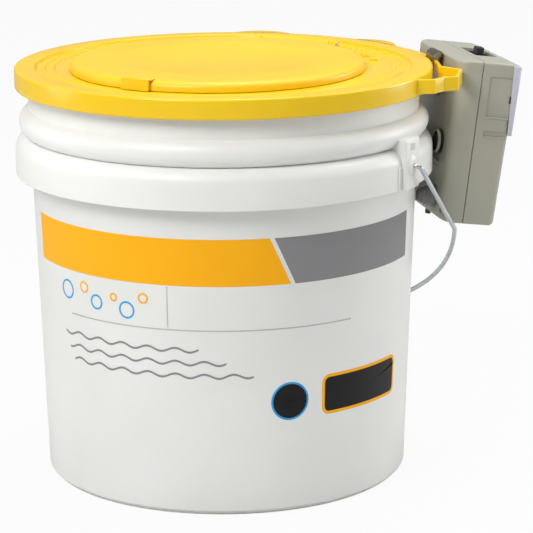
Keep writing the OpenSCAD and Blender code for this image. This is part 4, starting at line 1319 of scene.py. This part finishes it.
@dataclass
class Lid:
    """The snap lid with its ridges, pull tabs, hinge lugs and side loop."""

    shop: Workshop
    top: float = 306.1
    panel: float = 303.5
    thick: float = 2.2
    outer: float = 154.6
    rim_in: float = 139.1
    plug_r: float = 142.0
    opening: float = 96.0
    shift: float = 8.0
    skirt: float = 14.7
    pump_az: float = 133.5
    wing: float = 16.0
    loop_low: float = 293.6
    loop_h: float = 10.5
    loop_t: float = 2.6
    clip_r: float = 159.8
    tab_deg: float = 19.5
    tab_w: float = 41.0
    tab_out: float = 9.0
    hinge_y: float = 108.0
    hinge_z: float = 307.2
    hinge_r: float = 3.4
    pin_r: float = 2.0
    hinge_len: float = 60.0

    def section(self) -> list[tuple[float, float, float]]:
        """The closed section of the lid; rings by the opening are centred on the hatch."""
        low = self.top - self.skirt
        by_hole = rounded([(self.opening, self.panel - self.thick, 0.3), (self.opening, self.panel + 3.4, 0.7),
                           (self.opening + 2.2, self.panel + 3.4, 0.7), (self.opening + 2.2, self.panel, 1.0),
                           (self.opening + 9, self.panel)], closed=False)
        ridges: list[tuple[float, ...]] = [(122.0, self.panel)]
        for r in (self.rim_in - 13, self.rim_in - 6):
            ridges += [(r - 1.5, self.panel, 0.5), (r - 0.8, self.panel + 0.9, 0.5),
                       (r + 0.8, self.panel + 0.9, 0.5), (r + 1.5, self.panel, 0.5)]
        rest = rounded(ridges + [
            (self.rim_in - 0.4, self.panel, 0.8), (self.rim_in + 0.4, self.top, 1.2),
            (self.outer, self.top, 2.0), (self.outer, low + 1.2, 0.6),
            (self.outer - 0.5, low, 0.6), (self.outer - 3.5, low, 0.4),
            (self.outer - 3.7, low + 1.0, 0.4), (self.outer - 2.2, low + 2.2, 0.6),
            (self.outer - 2.2, self.top - 2.2, 1.0), (self.plug_r, self.top - 2.2, 0.6),
            (self.plug_r, self.top - 8, 0.6), (self.plug_r - 2.2, self.top - 8, 0.6),
            (self.plug_r - 2.2, self.panel - self.thick, 1.0), (122.0, self.panel - self.thick)], closed=False)
        out = [(r, z, -self.shift) for r, z in by_hole]
        out += [(r, z, 0.0) for r, z in rest]
        out.append((self.opening + 9, self.panel - self.thick, -self.shift))
        return out

    def loop_path(self) -> list[Point2]:
        """The middle line of the loop's wall, with rounded corners."""
        inside = self.outer - 1.1
        corners: list[tuple[float, ...]] = [
            (*plan(inside, self.pump_az - 38.2), 0), (*plan(164.4, self.pump_az - 36.1), 1.4),
            (*plan(167.6, self.pump_az - 32.0), 1.4), (*plan(176.5, self.pump_az - 29.6), 1.4),
            (*plan(175.1, self.pump_az - 19.4), 2.0)]
        corners += [(*plan(self.clip_r, self.pump_az + a), 1.2) for a in range(-15, 16, 3)]
        corners.append((*plan(inside, self.pump_az + 19.0), 0))
        return rounded(corners, closed=False, steps=4)

    def loop(self) -> bpy.types.Object:
        """The loop's wall, a strip with rounded rims along its path."""
        half, top = self.loop_t / 2, self.loop_low + self.loop_h
        section = rounded([(half, self.loop_low, 0.5), (half, top, 0.7),
                           (-half, top, 0.7), (-half, self.loop_low, 0.5)], steps=3)
        rings = [
            [(here.x + mitre.x * u, here.y + mitre.y * u, z) for u, z in section]
            for here, mitre in mitres(self.loop_path())]
        return loft("side_loop", rings, crease=40)

    def pull_tab(self, side: float) -> bpy.types.Object:
        """One bulging pull tab on the rear rim."""
        radius = ((self.tab_w / 2) ** 2 + self.tab_out**2) / (2 * self.tab_out)
        middle = self.outer + self.tab_out - radius
        outer: list[Point2] = []
        for k in range(-40, 41):
            a = k * 1.7
            x, y = radius * sin_deg(a), -middle - radius * cos_deg(a)
            if math.hypot(x, y) > self.outer - 1.2:
                outer.append((x, y))
        low = math.degrees(math.atan2(outer[-1][0], -outer[-1][1]))
        inner = [plan(self.outer - 1.4, low - 2 * low * k / 16) for k in range(17)]
        turn = turned(180 + side * self.tab_deg, "Z")
        tab = slab("pull_tab", outer + inner, self.top - self.thick, self.top - 0.06, 0.5, 0.9, turn)
        rib = self.shop.bars.bake("tab_ribs", self.shop.skin(Skin.LID), {
            "Count": 3, "First": (0.0, -(self.outer + 2.6), self.top - self.thick), "Step": (0.0, -1.9, 0.0),
            "Length": 16.0, "Radius": 0.45}, turn)
        return joined(f"pull_tab_{'far' if side > 0 else 'near'}", [tab, rib])

    def lugs(self) -> bpy.types.Object:
        """The hinge's lugs and the stop lugs round the hatch."""
        parts = []
        for side in (-1, 1):
            x = side * (self.hinge_len / 2 + 0.4 + 3)
            shape = arc((self.hinge_y, self.hinge_z), self.hinge_r, 0, 180, 16)
            shape += [(self.hinge_y + s * (self.hinge_r + 0.6), self.panel - 0.8) for s in (-1, 1)]
            stand = at(x, 0, 0) @ SIDEWAYS
            lug = slab("hinge_lug", shape, -3, 3, 0.5, 0.5, stand)
            along = at(x, self.hinge_y, self.hinge_z) @ turned(90, "Y")
            bore = self.pin_r + 0.08
            carve(lug, [lathe("lug_bore", [(0, -6), (bore, -6), (bore, 6), (0, 6)], 40, along, False)])
            parts.append(lug)
            for az in (133.5, 143.5, 153.5):
                turn = turned(side * az, "Z")
                parts.append(block("stop_lug", (10, 4, 3.4), (0, -114.5, self.panel + 0.4), 0.6, turn))
        return joined("lid_lugs", parts)

    def build(self) -> None:
        """Builds and dresses the lid."""
        shell = lathe("lid_shell", self.section(), 256)
        pieces = [shell, self.loop(), self.pull_tab(1), self.pull_tab(-1), self.lugs()]
        for piece in pieces:
            self.shop.dress(piece, Skin.LID, Body.LID, "lid_plastic")
        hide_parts("lid")
        self.shop.dress_node("hatch_hinge_pin", Skin.STEEL)


@dataclass
class Hatch:
    """The round hatch with its lift tab and hinge barrel."""

    shop: Workshop
    lid: Lid
    radius: float = 109.0
    level: float = 303.8
    height: float = 7.4
    wall: float = 2.0
    slope: float = 7.0
    side_h: float = 3.0
    tab_w: float = 23.0

    def build(self) -> None:
        """Builds and dresses the hatch."""
        z, top_r = self.level, self.radius - self.slope
        crown = quarter((top_r, z + self.side_h), self.slope, self.height - self.side_h, 10)
        rise = self.height - self.side_h
        under = quarter((top_r, z + self.side_h), self.slope - self.wall, rise - self.wall, 8)
        top = rounded([(0, z + self.height - 0.5), (74.0, z + self.height - 0.5),
                       (76.0, z + self.height, 1.0), (96.0, z + self.height)], closed=False)
        foot = rounded([(self.radius, z + 2.0), (self.radius, z, 0.5), (self.radius - self.wall, z, 0.5),
                        (self.radius - self.wall, z + 2.0)], closed=False)
        profile = top + list(reversed(crown)) + foot + under + [(0, z + self.height - self.wall - 0.5)]
        shift = -self.lid.shift
        shell = lathe("hatch_shell", [(r, h, shift) for r, h in profile], 224, None, False)
        parts = [shell]
        edge = shift - self.radius
        parts.append(block("lift_tab", (self.tab_w, 9.4, 1.9), (0, edge + 1.7, z + self.height + 0.42), 0.7))
        drop = self.height + 0.6
        parts.append(block("lift_tab_skirt", (self.tab_w, 2.0, drop), (0, edge - 2.0, z + drop / 2), 0.6))
        arm_low, arm_high = shift + self.radius - 3.0, self.lid.hinge_y
        parts.append(block("hinge_arm", (self.lid.hinge_len, arm_high - arm_low, 2.6),
                           (0, (arm_low + arm_high) / 2, z + 1.3), 0.5))
        along = at(0, self.lid.hinge_y, self.lid.hinge_z) @ turned(90, "Y")
        half, outer = self.lid.hinge_len / 2, self.lid.hinge_r
        parts.append(lathe("hinge_barrel", rounded(
            [(2.1, -half, 0.2), (outer, -half, 0.5), (outer, half, 0.5), (2.1, half, 0.2)]), 48, along))
        piece = joined("hatch_cover", parts)
        self.shop.dress(piece, Skin.HATCH, Body.HATCH, "lid_plastic")
        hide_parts("hatch")


# ---------------------------------------------------------------- pump


@dataclass
class Pump:
    """The battery air pump: case, panel, door, clip, bumpers, switch and works."""

    shop: Workshop
    pail: Pail
    lid: Lid
    lean: float = 7.2
    reach: float = 169.2
    foot_z: float = 186.4
    wide: float = 110.0
    high: float = 122.4
    back_foot: float = 16.2
    back_top: float = 18.6
    front_foot: float = 25.0
    front_top: float = 28.0
    wall: float = 2.2
    back_edge: float = 9.0
    front_edge: float = 5.0
    chamfer: float = 2.4
    seam: float = 1.3
    seam_deep: float = 0.45
    corner_r: float = 2.6
    edge_steps: int = 8
    recess: tuple[float, float, float, float] = (-20.0, 20.0, -21.5, -4.5)
    recess_deep: float = 5.0
    door_w: float = 84.0
    door_h: float = 62.0
    panel_from: float = 69.0
    panel_top: float = 121.4
    panel_t: float = 2.2
    panel_side: float = 0.9
    panel_wrap: tuple[float, float] = (1.5, 4.6)
    clip_x: float = -7.0
    clip_w: float = 17.6
    clip_gap: float = 6.8
    clip_top: float = 118.2
    clip_back: float = 29.0
    clip_leg: float = 24.0
    rivet_x: float = 5.0
    bumper_x: float = 29.0
    bumper_r: float = 9.0
    bumper_tip_r: float = 5.0
    bumper_foot: float = 2.5
    bumper_gap: float = 0.5

    def frame(self) -> Matrix:
        """From the pump's own frame to the row frame: -Y outwards, +Y to the pail, foot at Z 0."""
        return (turned(self.lid.pump_az, "Z") @ at(0, -self.reach, self.foot_z)
                @ turned(self.lean, "X"))

    def face(self) -> Matrix:
        """From the sloping front face's frame to the row frame: Z up the face, -Y outwards."""
        slope = math.atan2(self.front_top - self.front_foot, self.high)
        return self.frame() @ at(0, -self.front_foot, 0) @ Matrix.Rotation(slope, 4, "X")

    def half_rings(self, foot: float, top: float, edge: float, cut: float, sign: float) -> list[list[Point3]]:
        """Rings of one half of the case, from the parting plane out to its face.

        Args:
            foot: Depth at the foot.
            top: Depth at the top.
            edge: Radius of the upright edges.
            cut: Amount taken off all faces.
            sign: 1 towards the pail and -1 outwards.

        Returns:
            The rings.
        """
        wide, low, high = self.wide / 2 - cut, cut, self.high - cut
        edge = max(edge - cut, 1.0)
        rim = max(self.chamfer - cut / 2, 0.8)
        turns = [90 * k / self.edge_steps for k in range(self.edge_steps + 1)]
        rings: list[list[Point3]] = []
        for k, turn in enumerate([0.0, *turns]):
            x = wide - edge * (1 - cos_deg(turn))
            z0, z1 = low + rim * (1 - cos_deg(turn)), high - rim * (1 - cos_deg(turn))
            corners = [(px, pz, self.corner_r) for px, pz in ((x, z1), (-x, z1), (-x, z0), (x, z0))]
            ring = []
            for px, pz in rounded(corners, steps=5):
                depth = foot - cut + (top - foot) * pz / self.high - edge * (1 - sin_deg(turn))
                ring.append((px, sign * depth if k else 0.0, pz))
            rings.append(ring)
        return rings

    def shell(self, name: str, foot: float, top: float, edge: float, sign: float) -> bpy.types.Object:
        """Makes one half of the case as an open-mouthed shell.

        Args:
            name: Name of the piece.
            foot: Depth at the foot.
            top: Depth at the top.
            edge: Radius of the upright edges.
            sign: 1 towards the pail and -1 outwards.

        Returns:
            The half.
        """
        outer = self.half_rings(foot, top, edge, 0.0, sign)
        inner = self.half_rings(foot, top, edge, self.wall, sign)
        lip = self.half_rings(foot, top, edge, self.seam, sign)[0]
        groove = [(x, sign * self.seam_deep, z) for x, _, z in outer[0]]
        return loft(name, [*reversed(inner), lip, groove, *outer[1:]], self.frame(), FINE_CREASE)

    def front_cutters(self) -> list[bpy.types.Object]:
        """What is cut from the front half: side panels and grooves, switch tray, door and bores."""
        cutters = []
        for side in (-1, 1):
            for low, high in ((81.5, 112.0), (67.0, 71.5)):
                place = self.frame() @ at(side * self.wide / 2, -15.5, (low + high) / 2) @ SIDEWAYS
                shape = rounded_rect(18.2, high - low, 1.6)
                cutters.append(slab("side_cut", shape, -0.9, 0.9, 0.12, 0.12, place))
        x0, x1, y0, y1 = self.recess
        place = self.frame() @ at((x0 + x1) / 2, (y0 + y1) / 2, 0)
        tray = self.high - self.recess_deep
        shape = rounded_rect(x1 - x0, y1 - y0, 1.6)
        cutters.append(slab("tray_cut", shape, tray, self.high + 2, 0.8, 0, place))
        cutters.append(block("slot_cut", (12.6, 7.0, 6), (2.0, -13.0, tray - 2), 0.2, self.frame()))
        cutters.append(block("door_cut", (self.door_w + 0.6, 3.3, self.door_h + 4.3),
                             (0, 0.65, self.door_h / 2 - 1.85), 0.0, self.face()))
        cutters.append(lathe("outlet_bore", [(0, -3), (2.5, -3), (2.5, 6), (0, 6)], 32,
                             self.frame() @ at(39.5, -3, 0), False))
        return cutters

    def case(self) -> None:
        """Builds the two halves of the case."""
        back = self.shell("case_back", self.back_foot, self.back_top, self.back_edge, 1)
        cutters = []
        for x, z in self.screws():
            place = self.frame() @ at(x, 0, z) @ turned(-90, "X")
            cutters.append(lathe("screw_well", [(0, 14.2), (3.0, 14.2), (3.0, 24), (0, 24)], 32, place, False))
        for x in (self.clip_x - self.rivet_x, self.clip_x + self.rivet_x):
            place = self.frame() @ at(x, 0, self.rivet_z()) @ turned(-90, "X")
            cutters.append(lathe("rivet_bore", [(0, 12), (1.9, 12), (1.9, 24), (0, 24)], 24, place, False))
        carve(back, cutters, FINE_CREASE)
        ribs = self.shop.bars.bake("back_ribs", self.shop.skin(Skin.CASE), {
            "Count": 2, "First": (0.0, 17.05, 38.0), "Step": (0.0, 0.08, 4.0), "Length": 60.0, "Radius": 0.5},
            self.frame())
        back = joined("case_back", [back, ribs], FINE_CREASE)
        front = self.shell("case_front", self.front_foot, self.front_top, self.front_edge, -1)
        carve(front, self.front_cutters(), FINE_CREASE)
        lips = [self.shop.bars.bake("side_lip", self.shop.skin(Skin.CASE), {
            "Count": 2, "First": (0.0, side * -self.wide / 2, 66.8), "Step": (0.0, 0.0, 14.5),
            "Length": 17.6, "Radius": 0.75},
            self.frame() @ at(0, -15.6, 0) @ turned(90, "Z")) for side in (-1, 1)]
        front = joined("case_front", [front, *lips], FINE_CREASE)
        for piece in (back, front):
            self.shop.dress(piece, Skin.CASE, Body.PUMP, "case_plastic")
        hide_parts("pump_back_case")
        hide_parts("pump_front_case")

    def screws(self) -> list[Point2]:
        """Places of the case screws."""
        x = self.wide / 2 - 7.5
        return [(s * x, z) for s in (-1, 1) for z in (9.0, self.high - 10.5)]

    def rivet_z(self) -> float:
        """Height of the clip's rivets."""
        return self.clip_top - self.clip_back + 5

    def front(self) -> None:
        """Builds the grey front panel and the battery door."""
        low, high = self.panel_from, self.panel_top
        panel = self.wrapped_plate()
        place = self.face() @ at(0, 0, (low + high) / 2) @ turned(90, "X")
        field_shape = rounded_rect(self.wide - 24, high - low - 16, 2.4)
        carve(panel, [slab("panel_field", field_shape, 1.5, 3.0, 0.4, 0.0, place)])
        slots = self.shop.bars.bake("panel_louvres", self.shop.skin(Skin.PANEL), {
            "Count": 8, "First": (0.0, -1.45, low + 12.4), "Step": (0.0, 0.0, 3.8), "Length": 78.0,
            "Radius": 0.75}, self.face())
        piece = joined("panel_front", [panel, slots])
        self.shop.dress(piece, Skin.PANEL, Body.PUMP, "panel_plastic")
        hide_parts("front_panel")
        catch = block("panel_catch", (0.9, 2.6, 5.4), (-self.wide / 2 - 0.2, -24.4, 95.8), 0.25, self.frame())
        self.shop.dress(catch, Skin.BLACK, Body.PUMP, "black_plastic")
        rim = block("door_plate", (self.door_w, 2.0, self.door_h), (0, 1.0, self.door_h / 2), 0.45, self.face())
        foot = block("door_foot", (self.door_w, 2.0, 4.0), (0, 1.0, 1.6), 0.4, self.face())
        ridges = self.shop.bars.bake("door_ridges", self.shop.skin(Skin.DOOR), {
            "Count": 6, "First": (0.0, -0.1, self.door_h - 16), "Step": (0.0, 0.0, 2.2), "Length": 26.0,
            "Radius": 0.6}, self.face())
        door = joined("door_cover", [rim, foot, ridges])
        self.shop.dress(door, Skin.DOOR, Body.DOOR, "case_plastic")
        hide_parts("battery_door")

    def wrapped_plate(self) -> bpy.types.Object:
        """The front panel's plate, which wraps round the case's front corners."""
        low, high, size = self.panel_from, self.panel_top, self.wide / 2
        rings = []
        for z, cut in ((low, 0.4), (low + 0.4, 0.0), (high - 1.2, 0.0), (high - 0.4, 0.4), (high, 1.0)):
            face = -(self.front_foot + (self.front_top - self.front_foot) * z / self.high)
            share = (z - low) / (high - low)
            back = face + self.panel_wrap[0] + (self.panel_wrap[1] - self.panel_wrap[0]) * share
            x, x_in = size + self.panel_side - cut * 0.6, size + 0.05
            front, y_in = face - self.panel_t + cut, face - 0.05
            outline = rounded([(-x, back, 0.1), (-x, front, 5.9), (x, front, 5.9), (x, back, 0.1),
                               (x_in, back, 0.1), (x_in, y_in, 5.0), (-x_in, y_in, 5.0),
                               (-x_in, back, 0.1)], steps=6)
            rings.append([(px, py, z) for px, py in outline])
        return loft("panel_plate", rings, self.frame())

    def clip(self) -> None:
        """Builds the spring clip and its rivets."""
        radius, thick = self.clip_gap / 2, 1.0
        y0 = self.back_top
        middle = y0 + thick + radius
        path: list[Point2] = [(y0 + 0.5, self.clip_top - self.clip_back), (y0 + 0.5, self.clip_top)]
        path += [
            (middle - (radius + 0.5) * cos_deg(a), self.clip_top + (radius + 0.5) * sin_deg(a))
            for a in range(10, 180, 10)]
        far = middle + radius + 0.5
        path += [(far, self.clip_top), (far, self.clip_top - self.clip_leg)]
        x0, x1 = self.clip_x - self.clip_w / 2, self.clip_x + self.clip_w / 2
        section = rounded([(0.5, x1, 0.3), (-0.5, x1, 0.3), (-0.5, x0, 0.3), (0.5, x0, 0.3)], steps=2)
        rings = [
            [(x, here.x + mitre.x * u, here.y + mitre.y * u) for u, x in section]
            for here, mitre in mitres(path)]
        strip = loft("clip_strip", rings, self.frame(), crease=32)
        self.shop.dress(strip, Skin.CLIP, Body.PUMP, "clip_steel")
        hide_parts("spring_clip")
        parts = []
        for x in (self.clip_x - self.rivet_x, self.clip_x + self.rivet_x):
            place = self.frame() @ at(x, 0, self.rivet_z()) @ turned(-90, "X")
            head = y0 + thick
            shape = [(0, 14.6), (2.3, 14.6), (2.3, 15.6), (1.8, 15.7), (1.8, head - 0.1), (2.4, head),
                     (2.3, head + 0.45), (1.8, head + 0.8), (1.0, head + 0.98), (0, head + 1.0)]
            parts.append(lathe("rivet", shape, 32, place, False))
        rivets = joined("clip_rivet_pair", parts)
        self.shop.dress(rivets, Skin.STEEL, Body.PUMP, "bright_steel")
        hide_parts("clip_rivets")

    def bumpers(self) -> None:
        """Builds the stepped bumpers on the back face and the collars of the upper pair; the upper pair's black is
        painted shade.
        """
        collars: list[bpy.types.Object] = []
        # painted shade: the upper pair is dressed in black rubber because it sits in shade, while the lower pair
        # is clear rubber
        for name, up, steps, skin, slot in (
            ("upper_bumpers", 57.0, 1, Skin.RUBBER, "black_rubber"),
            ("lower_bumpers", 15.0, 3, Skin.CLEAR, "clear_rubber"),
        ):
            base = self.back_foot + (self.back_top - self.back_foot) * (up + self.bumper_r) / self.high + 0.05
            length = self.bumper_length(up)
            rise, narrow = length - self.bumper_foot, self.bumper_r - self.bumper_tip_r
            parts = []
            for side in (-1, 1):
                place = self.frame() @ at(side * self.bumper_x, base, up) @ turned(-90, "X")
                shape: list[tuple[float, ...]] = [(0, 0), (self.bumper_r, 0, 0.3), (self.bumper_r, 1.9, 0.8)]
                for k in range(1, steps + 1):
                    r = self.bumper_r - narrow * k / (steps + 1)
                    low, high = (self.bumper_foot + rise * step / (steps + 1) for step in (k - 1, k))
                    shape += [(r + 0.35, low, 0.4), (r - 0.1, high - 0.2, 0.5)]
                shape += [(self.bumper_tip_r, length - rise / (steps + 1), 0.4),
                          (self.bumper_tip_r - 0.2, length - 0.2, 1.2), (0, length - 0.1)]
                parts.append(lathe("bumper", rounded(shape, closed=False), 48, place, False))
                if steps == 1:
                    collars.append(lathe("bumper_collar", rounded(
                        [(7.3, 2.0, 0.3), (8.8, 2.0, 0.5), (8.6, 4.2, 0.8), (7.3, 4.2, 0.5)]), 48, place))
            piece = joined(name + "_pair", parts)
            self.shop.dress(piece, skin, Body.PUMP, slot)
            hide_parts(name)
        self.shop.dress(joined("bumper_collars", collars), Skin.CASE, Body.PUMP, "case_plastic")

    def bumper_length(self, up: float) -> float:
        """Finds how long the bumpers are, so that their tips just clear the pail.

        Args:
            up: Height of the bumpers' middle above the pump's foot.

        Returns:
            The length.
        """
        back = self.back_foot + (self.back_top - self.back_foot) * up / self.high
        on_collar = self.foot_z + up > self.pail.collar_z
        pail_out = self.pail.collar_r if on_collar else self.pail.wall_r(self.foot_z + up + 8)
        reach = self.reach + up * sin_deg(self.lean) - back * cos_deg(self.lean)
        reach -= math.sqrt(pail_out**2 - (self.bumper_x - self.bumper_tip_r) ** 2)
        return reach / cos_deg(self.lean) - self.bumper_tip_r * math.tan(math.radians(self.lean)) - self.bumper_gap

    def small_parts(self) -> None:
        """Builds the screws, the knob, the cells and their springs."""
        parts = []
        for x, z in self.screws():
            place = self.frame() @ at(x, 0, z) @ turned(-90, "X")
            head = self.back_foot - 2.0
            shape = [(0, -17.5), (0.8, -17.0), (1.4, -15.5), (1.4, head), (2.7, head), (2.8, head + 0.5),
                     (2.4, head + 1.2), (1.4, head + 1.6), (0, head + 1.6)]
            screw = lathe("screw", shape, 32, place, False)
            cross = ((3.4, 0.6, 1.3), (0.6, 3.4, 1.3))
            carve(screw, [block("cross_slot", size, (0, 0, head + 1.5), 0.0, place) for size in cross])
            parts.append(screw)
        screws = joined("case_screw_set", parts)
        self.shop.dress(screws, Skin.STEEL, Body.PUMP, "bright_steel")
        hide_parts("case_screws")
        top = self.high - self.recess_deep
        knob = block("knob_block", (8.0, 6.4, 13.8), (0, -13.0, top + 2.1), 0.9, self.frame(), 4)
        ridges = self.shop.bars.bake("knob_ridges", self.shop.skin(Skin.BLACK), {
            "Count": 4, "First": (0.0, -15.0, top + 8.95), "Step": (0.0, 1.33, 0.0), "Length": 6.2,
            "Radius": 0.3}, self.frame())
        piece = joined("knob_cap", [knob, ridges])
        self.shop.dress(piece, Skin.BLACK, Body.SWITCH, "black_plastic")
        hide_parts("switch_knob")
        self.cells()

    def cells(self) -> None:
        """Builds the two cells and the coil under each."""
        jackets, bands, springs = [], [], []
        low = 8.2
        for x in (-17.4, 17.4):
            place = self.frame() @ at(x, -3, low)
            jackets.append(lathe("cell", rounded(
                [(0, 0.4), (11.5, 0.4), (12.3, 0, 0.4), (16.2, 0, 1.2), (16.6, 1.0, 0.5), (16.6, 40.0)],
                closed=False) + [(16.55, 40.0), (0, 40.0)], 64, place, False))
            bands.append(lathe("cell_band", rounded(
                [(0, 40.0), (16.6, 40.0), (16.6, 59.2, 1.0), (14.8, 60.0, 0.8), (5.0, 60.0, 0.3),
                 (4.5, 61.2, 0.5), (0, 61.4)],
                closed=False), 64, place, False))
            springs.append(self.shop.coil.bake("cell_spring", self.shop.skin(Skin.STEEL), {
                "Turns": 3.0, "Foot Radius": 5.0, "Top Radius": 5.0, "Height": 4.9, "Wire Radius": 0.5},
                self.frame() @ at(x, -3, 2.75)))
        jacket = joined("cell_jackets", jackets)
        self.shop.dress(jacket, Skin.CELL, Body.PUMP, "battery_jacket")
        self.shop.dress(joined("cell_tops", bands), Skin.CELL_BAND, Body.PUMP, "battery_jacket")
        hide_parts("batteries")
        coils = joined("cell_spring_pair", springs)
        self.shop.dress(coils, Skin.STEEL, Body.PUMP, "bright_steel")
        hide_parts("battery_springs")

    def works(self) -> None:
        """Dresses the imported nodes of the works."""
        for node, skin in (
            ("switch_body", Skin.BLACK), ("contact_plates", Skin.BRASS), ("motor", Skin.CAN),
            ("motor_mount", Skin.BLACK), ("eccentric_shaft", Skin.STEEL), ("rocker_arm", Skin.WORKS),
            ("rocker_pin", Skin.STEEL), ("diaphragm", Skin.RUBBER), ("air_chamber", Skin.WORKS),
            ("air_tube", Skin.CLEAR), ("air_outlet", Skin.BLACK),
        ):
            self.shop.dress_node(node, skin)
            LOG.info("%s is dressed", node)

    def build(self) -> None:
        """Builds and dresses the whole pump."""
        self.case()
        self.front()
        self.clip()
        self.bumpers()
        self.small_parts()
        self.works()


# ---------------------------------------------------------------- studio


@dataclass
class Studio:
    """The camera, the lamps, the floor and the world."""

    lens: float = 169.213
    place: Point3 = (0.959653, -1.566012, 0.605274)
    right: Point3 = (0.861953, 0.506963, -0.004994)
    up: Point3 = (-0.11763, 0.20956, 0.970695)
    facing: float = 31.5
    horizon: float = 0.30
    shoulder: float = 0.38
    overhead: float = 0.66

    def camera(self) -> None:
        """Sets the camera where the fit to the photograph puts it."""
        data = bpy.data.cameras.new("camera")
        data.lens = self.lens
        data.sensor_width = 36.0
        data.sensor_fit = "HORIZONTAL"
        data.clip_end = 50.0
        right, up = Vector(self.right), Vector(self.up)
        back = right.cross(up)
        turn = Matrix((right, up, back)).transposed().to_4x4()
        eye = bpy.data.objects.new("camera", data)
        eye.matrix_world = Matrix.Translation(self.place) @ turn
        bpy.context.scene.collection.objects.link(eye)
        bpy.context.scene.camera = eye

    def lamp(
        self, name: str, direction: float, height: float, distance: float, size: float, power: float
    ) -> None:
        """Adds a soft lamp that looks at the pail.

        Args:
            name: Name of the lamp.
            direction: Direction in degrees from the photographed side.
            height: Height in metres.
            distance: Distance in metres from the pail's axis.
            size: Diameter in metres.
            power: Power in watts.
        """
        data = bpy.data.lights.new(name, "AREA")
        data.shape = "DISK"
        data.size = size
        data.energy = power
        lamp = bpy.data.objects.new(name, data)
        x, y = plan(distance, self.facing + direction)
        lamp.location = (x, y, height)
        aim = Vector((0, 0, 0.15)) - lamp.location
        lamp.rotation_euler = aim.to_track_quat("-Z", "Y").to_euler()
        bpy.context.scene.collection.objects.link(lamp)

    def world(self) -> None:
        """Sets a world that the camera sees as white and that lights softly, brightest overhead."""
        world = bpy.data.worlds.new("studio")
        bpy.context.scene.world = world
        world.use_nodes = True
        nodes, links = world.node_tree.nodes, world.node_tree.links
        nodes.clear()
        out = nodes.new("ShaderNodeOutputWorld")
        mix = nodes.new("ShaderNodeMixShader")
        soft, seen = nodes.new("ShaderNodeBackground"), nodes.new("ShaderNodeBackground")
        seen.inputs["Color"].default_value = (1, 1, 1, 1)
        spot, split = nodes.new("ShaderNodeTexCoord"), nodes.new("ShaderNodeSeparateXYZ")
        links.new(spot.outputs["Generated"], split.inputs[0])
        ramp = nodes.new("ShaderNodeValToRGB")
        ramp.color_ramp.elements[0].position, ramp.color_ramp.elements[1].position = 0.0, 1.0
        for element, value in zip(ramp.color_ramp.elements, (self.horizon, self.overhead)):
            element.color = (value, value, value, 1)
        middle = ramp.color_ramp.elements.new(0.35)
        middle.color = (self.shoulder, self.shoulder, self.shoulder, 1)
        links.new(split.outputs["Z"], ramp.inputs["Fac"])
        links.new(ramp.outputs["Color"], soft.inputs["Color"])
        path = nodes.new("ShaderNodeLightPath")
        links.new(path.outputs["Is Camera Ray"], mix.inputs["Fac"])
        links.new(soft.outputs[0], mix.inputs[1])
        links.new(seen.outputs[0], mix.inputs[2])
        links.new(mix.outputs[0], out.inputs["Surface"])

    def floor(self) -> None:
        """Adds a pale floor that keeps a faint shadow."""
        rings = [[(r * sin_deg(a), -r * cos_deg(a), -0.02) for a in range(0, 360, 6)] for r in (4000.0, 0.01)]
        size = len(rings[0])
        faces = [[k, (k + 1) % size, size + (k + 1) % size, size + k] for k in range(size)]
        ground = mesh_piece("floor", rings[0] + rings[1], faces)
        material = bpy.data.materials.new("pale_floor")
        material.use_nodes = True
        nodes, links = material.node_tree.nodes, material.node_tree.links
        shader = nodes["Principled BSDF"]
        shader.inputs["Base Color"].default_value = (0.58, 0.58, 0.57, 1)
        shader.inputs["Roughness"].default_value = 0.8
        glow = nodes.new("ShaderNodeEmission")
        mix = nodes.new("ShaderNodeMixShader")
        path = nodes.new("ShaderNodeLightPath")
        share = nodes.new("ShaderNodeMath")
        share.operation = "MULTIPLY"
        share.inputs[1].default_value = 0.93
        links.new(path.outputs["Is Camera Ray"], share.inputs[0])
        links.new(share.outputs[0], mix.inputs["Fac"])
        links.new(shader.outputs[0], mix.inputs[1])
        links.new(glow.outputs[0], mix.inputs[2])
        links.new(mix.outputs[0], nodes["Material Output"].inputs["Surface"])
        ground.data.materials.append(material)
        ground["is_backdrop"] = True

    def build(self) -> None:
        """Builds the studio."""
        self.camera()
        self.world()
        self.floor()
        self.lamp("key", -36, 1.6, 1.7, 1.0, 26.5)
        self.lamp("fill", 48, 0.9, 2.2, 1.4, 0.4)
        self.lamp("top", 160, 2.4, 0.6, 1.0, 20.0)
        self.lamp("left_edge", -95, 0.45, 1.4, 0.7, 3.0)
        self.lamp("right_edge", 105, 0.5, 1.5, 0.7, 8.0)
        self.lamp("pump_top", 100, 0.9, 0.5, 0.3, 1.1)
        bpy.context.scene.view_settings.view_transform = "Standard"


def corners(box: object) -> list[list[float]]:
    return [[float(c) for c in corner] for corner in box]


def main() -> None:
    """Builds every sub-assembly in order and works out the sizes before and after."""
    logging.basicConfig(level=logging.INFO, format="%(name)s: %(message)s")
    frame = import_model()
    packed = corners(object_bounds())
    for old in [o for o in bpy.data.objects if o.type in {"CAMERA", "LIGHT"}]:
        bpy.data.objects.remove(old)
    shop = Workshop(frame["nodes"])
    pail = Pail(shop)
    pail.build()
    Prints(shop, pail).build()
    Bail(shop, pail).build()
    lid = Lid(shop)
    lid.build()
    Hatch(shop, lid).build()
    Pump(shop, pail, lid).build()
    Studio().build()
    {"packed": packed, "dressed": corners(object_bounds())}


if __name__ == "__main__":
    main()
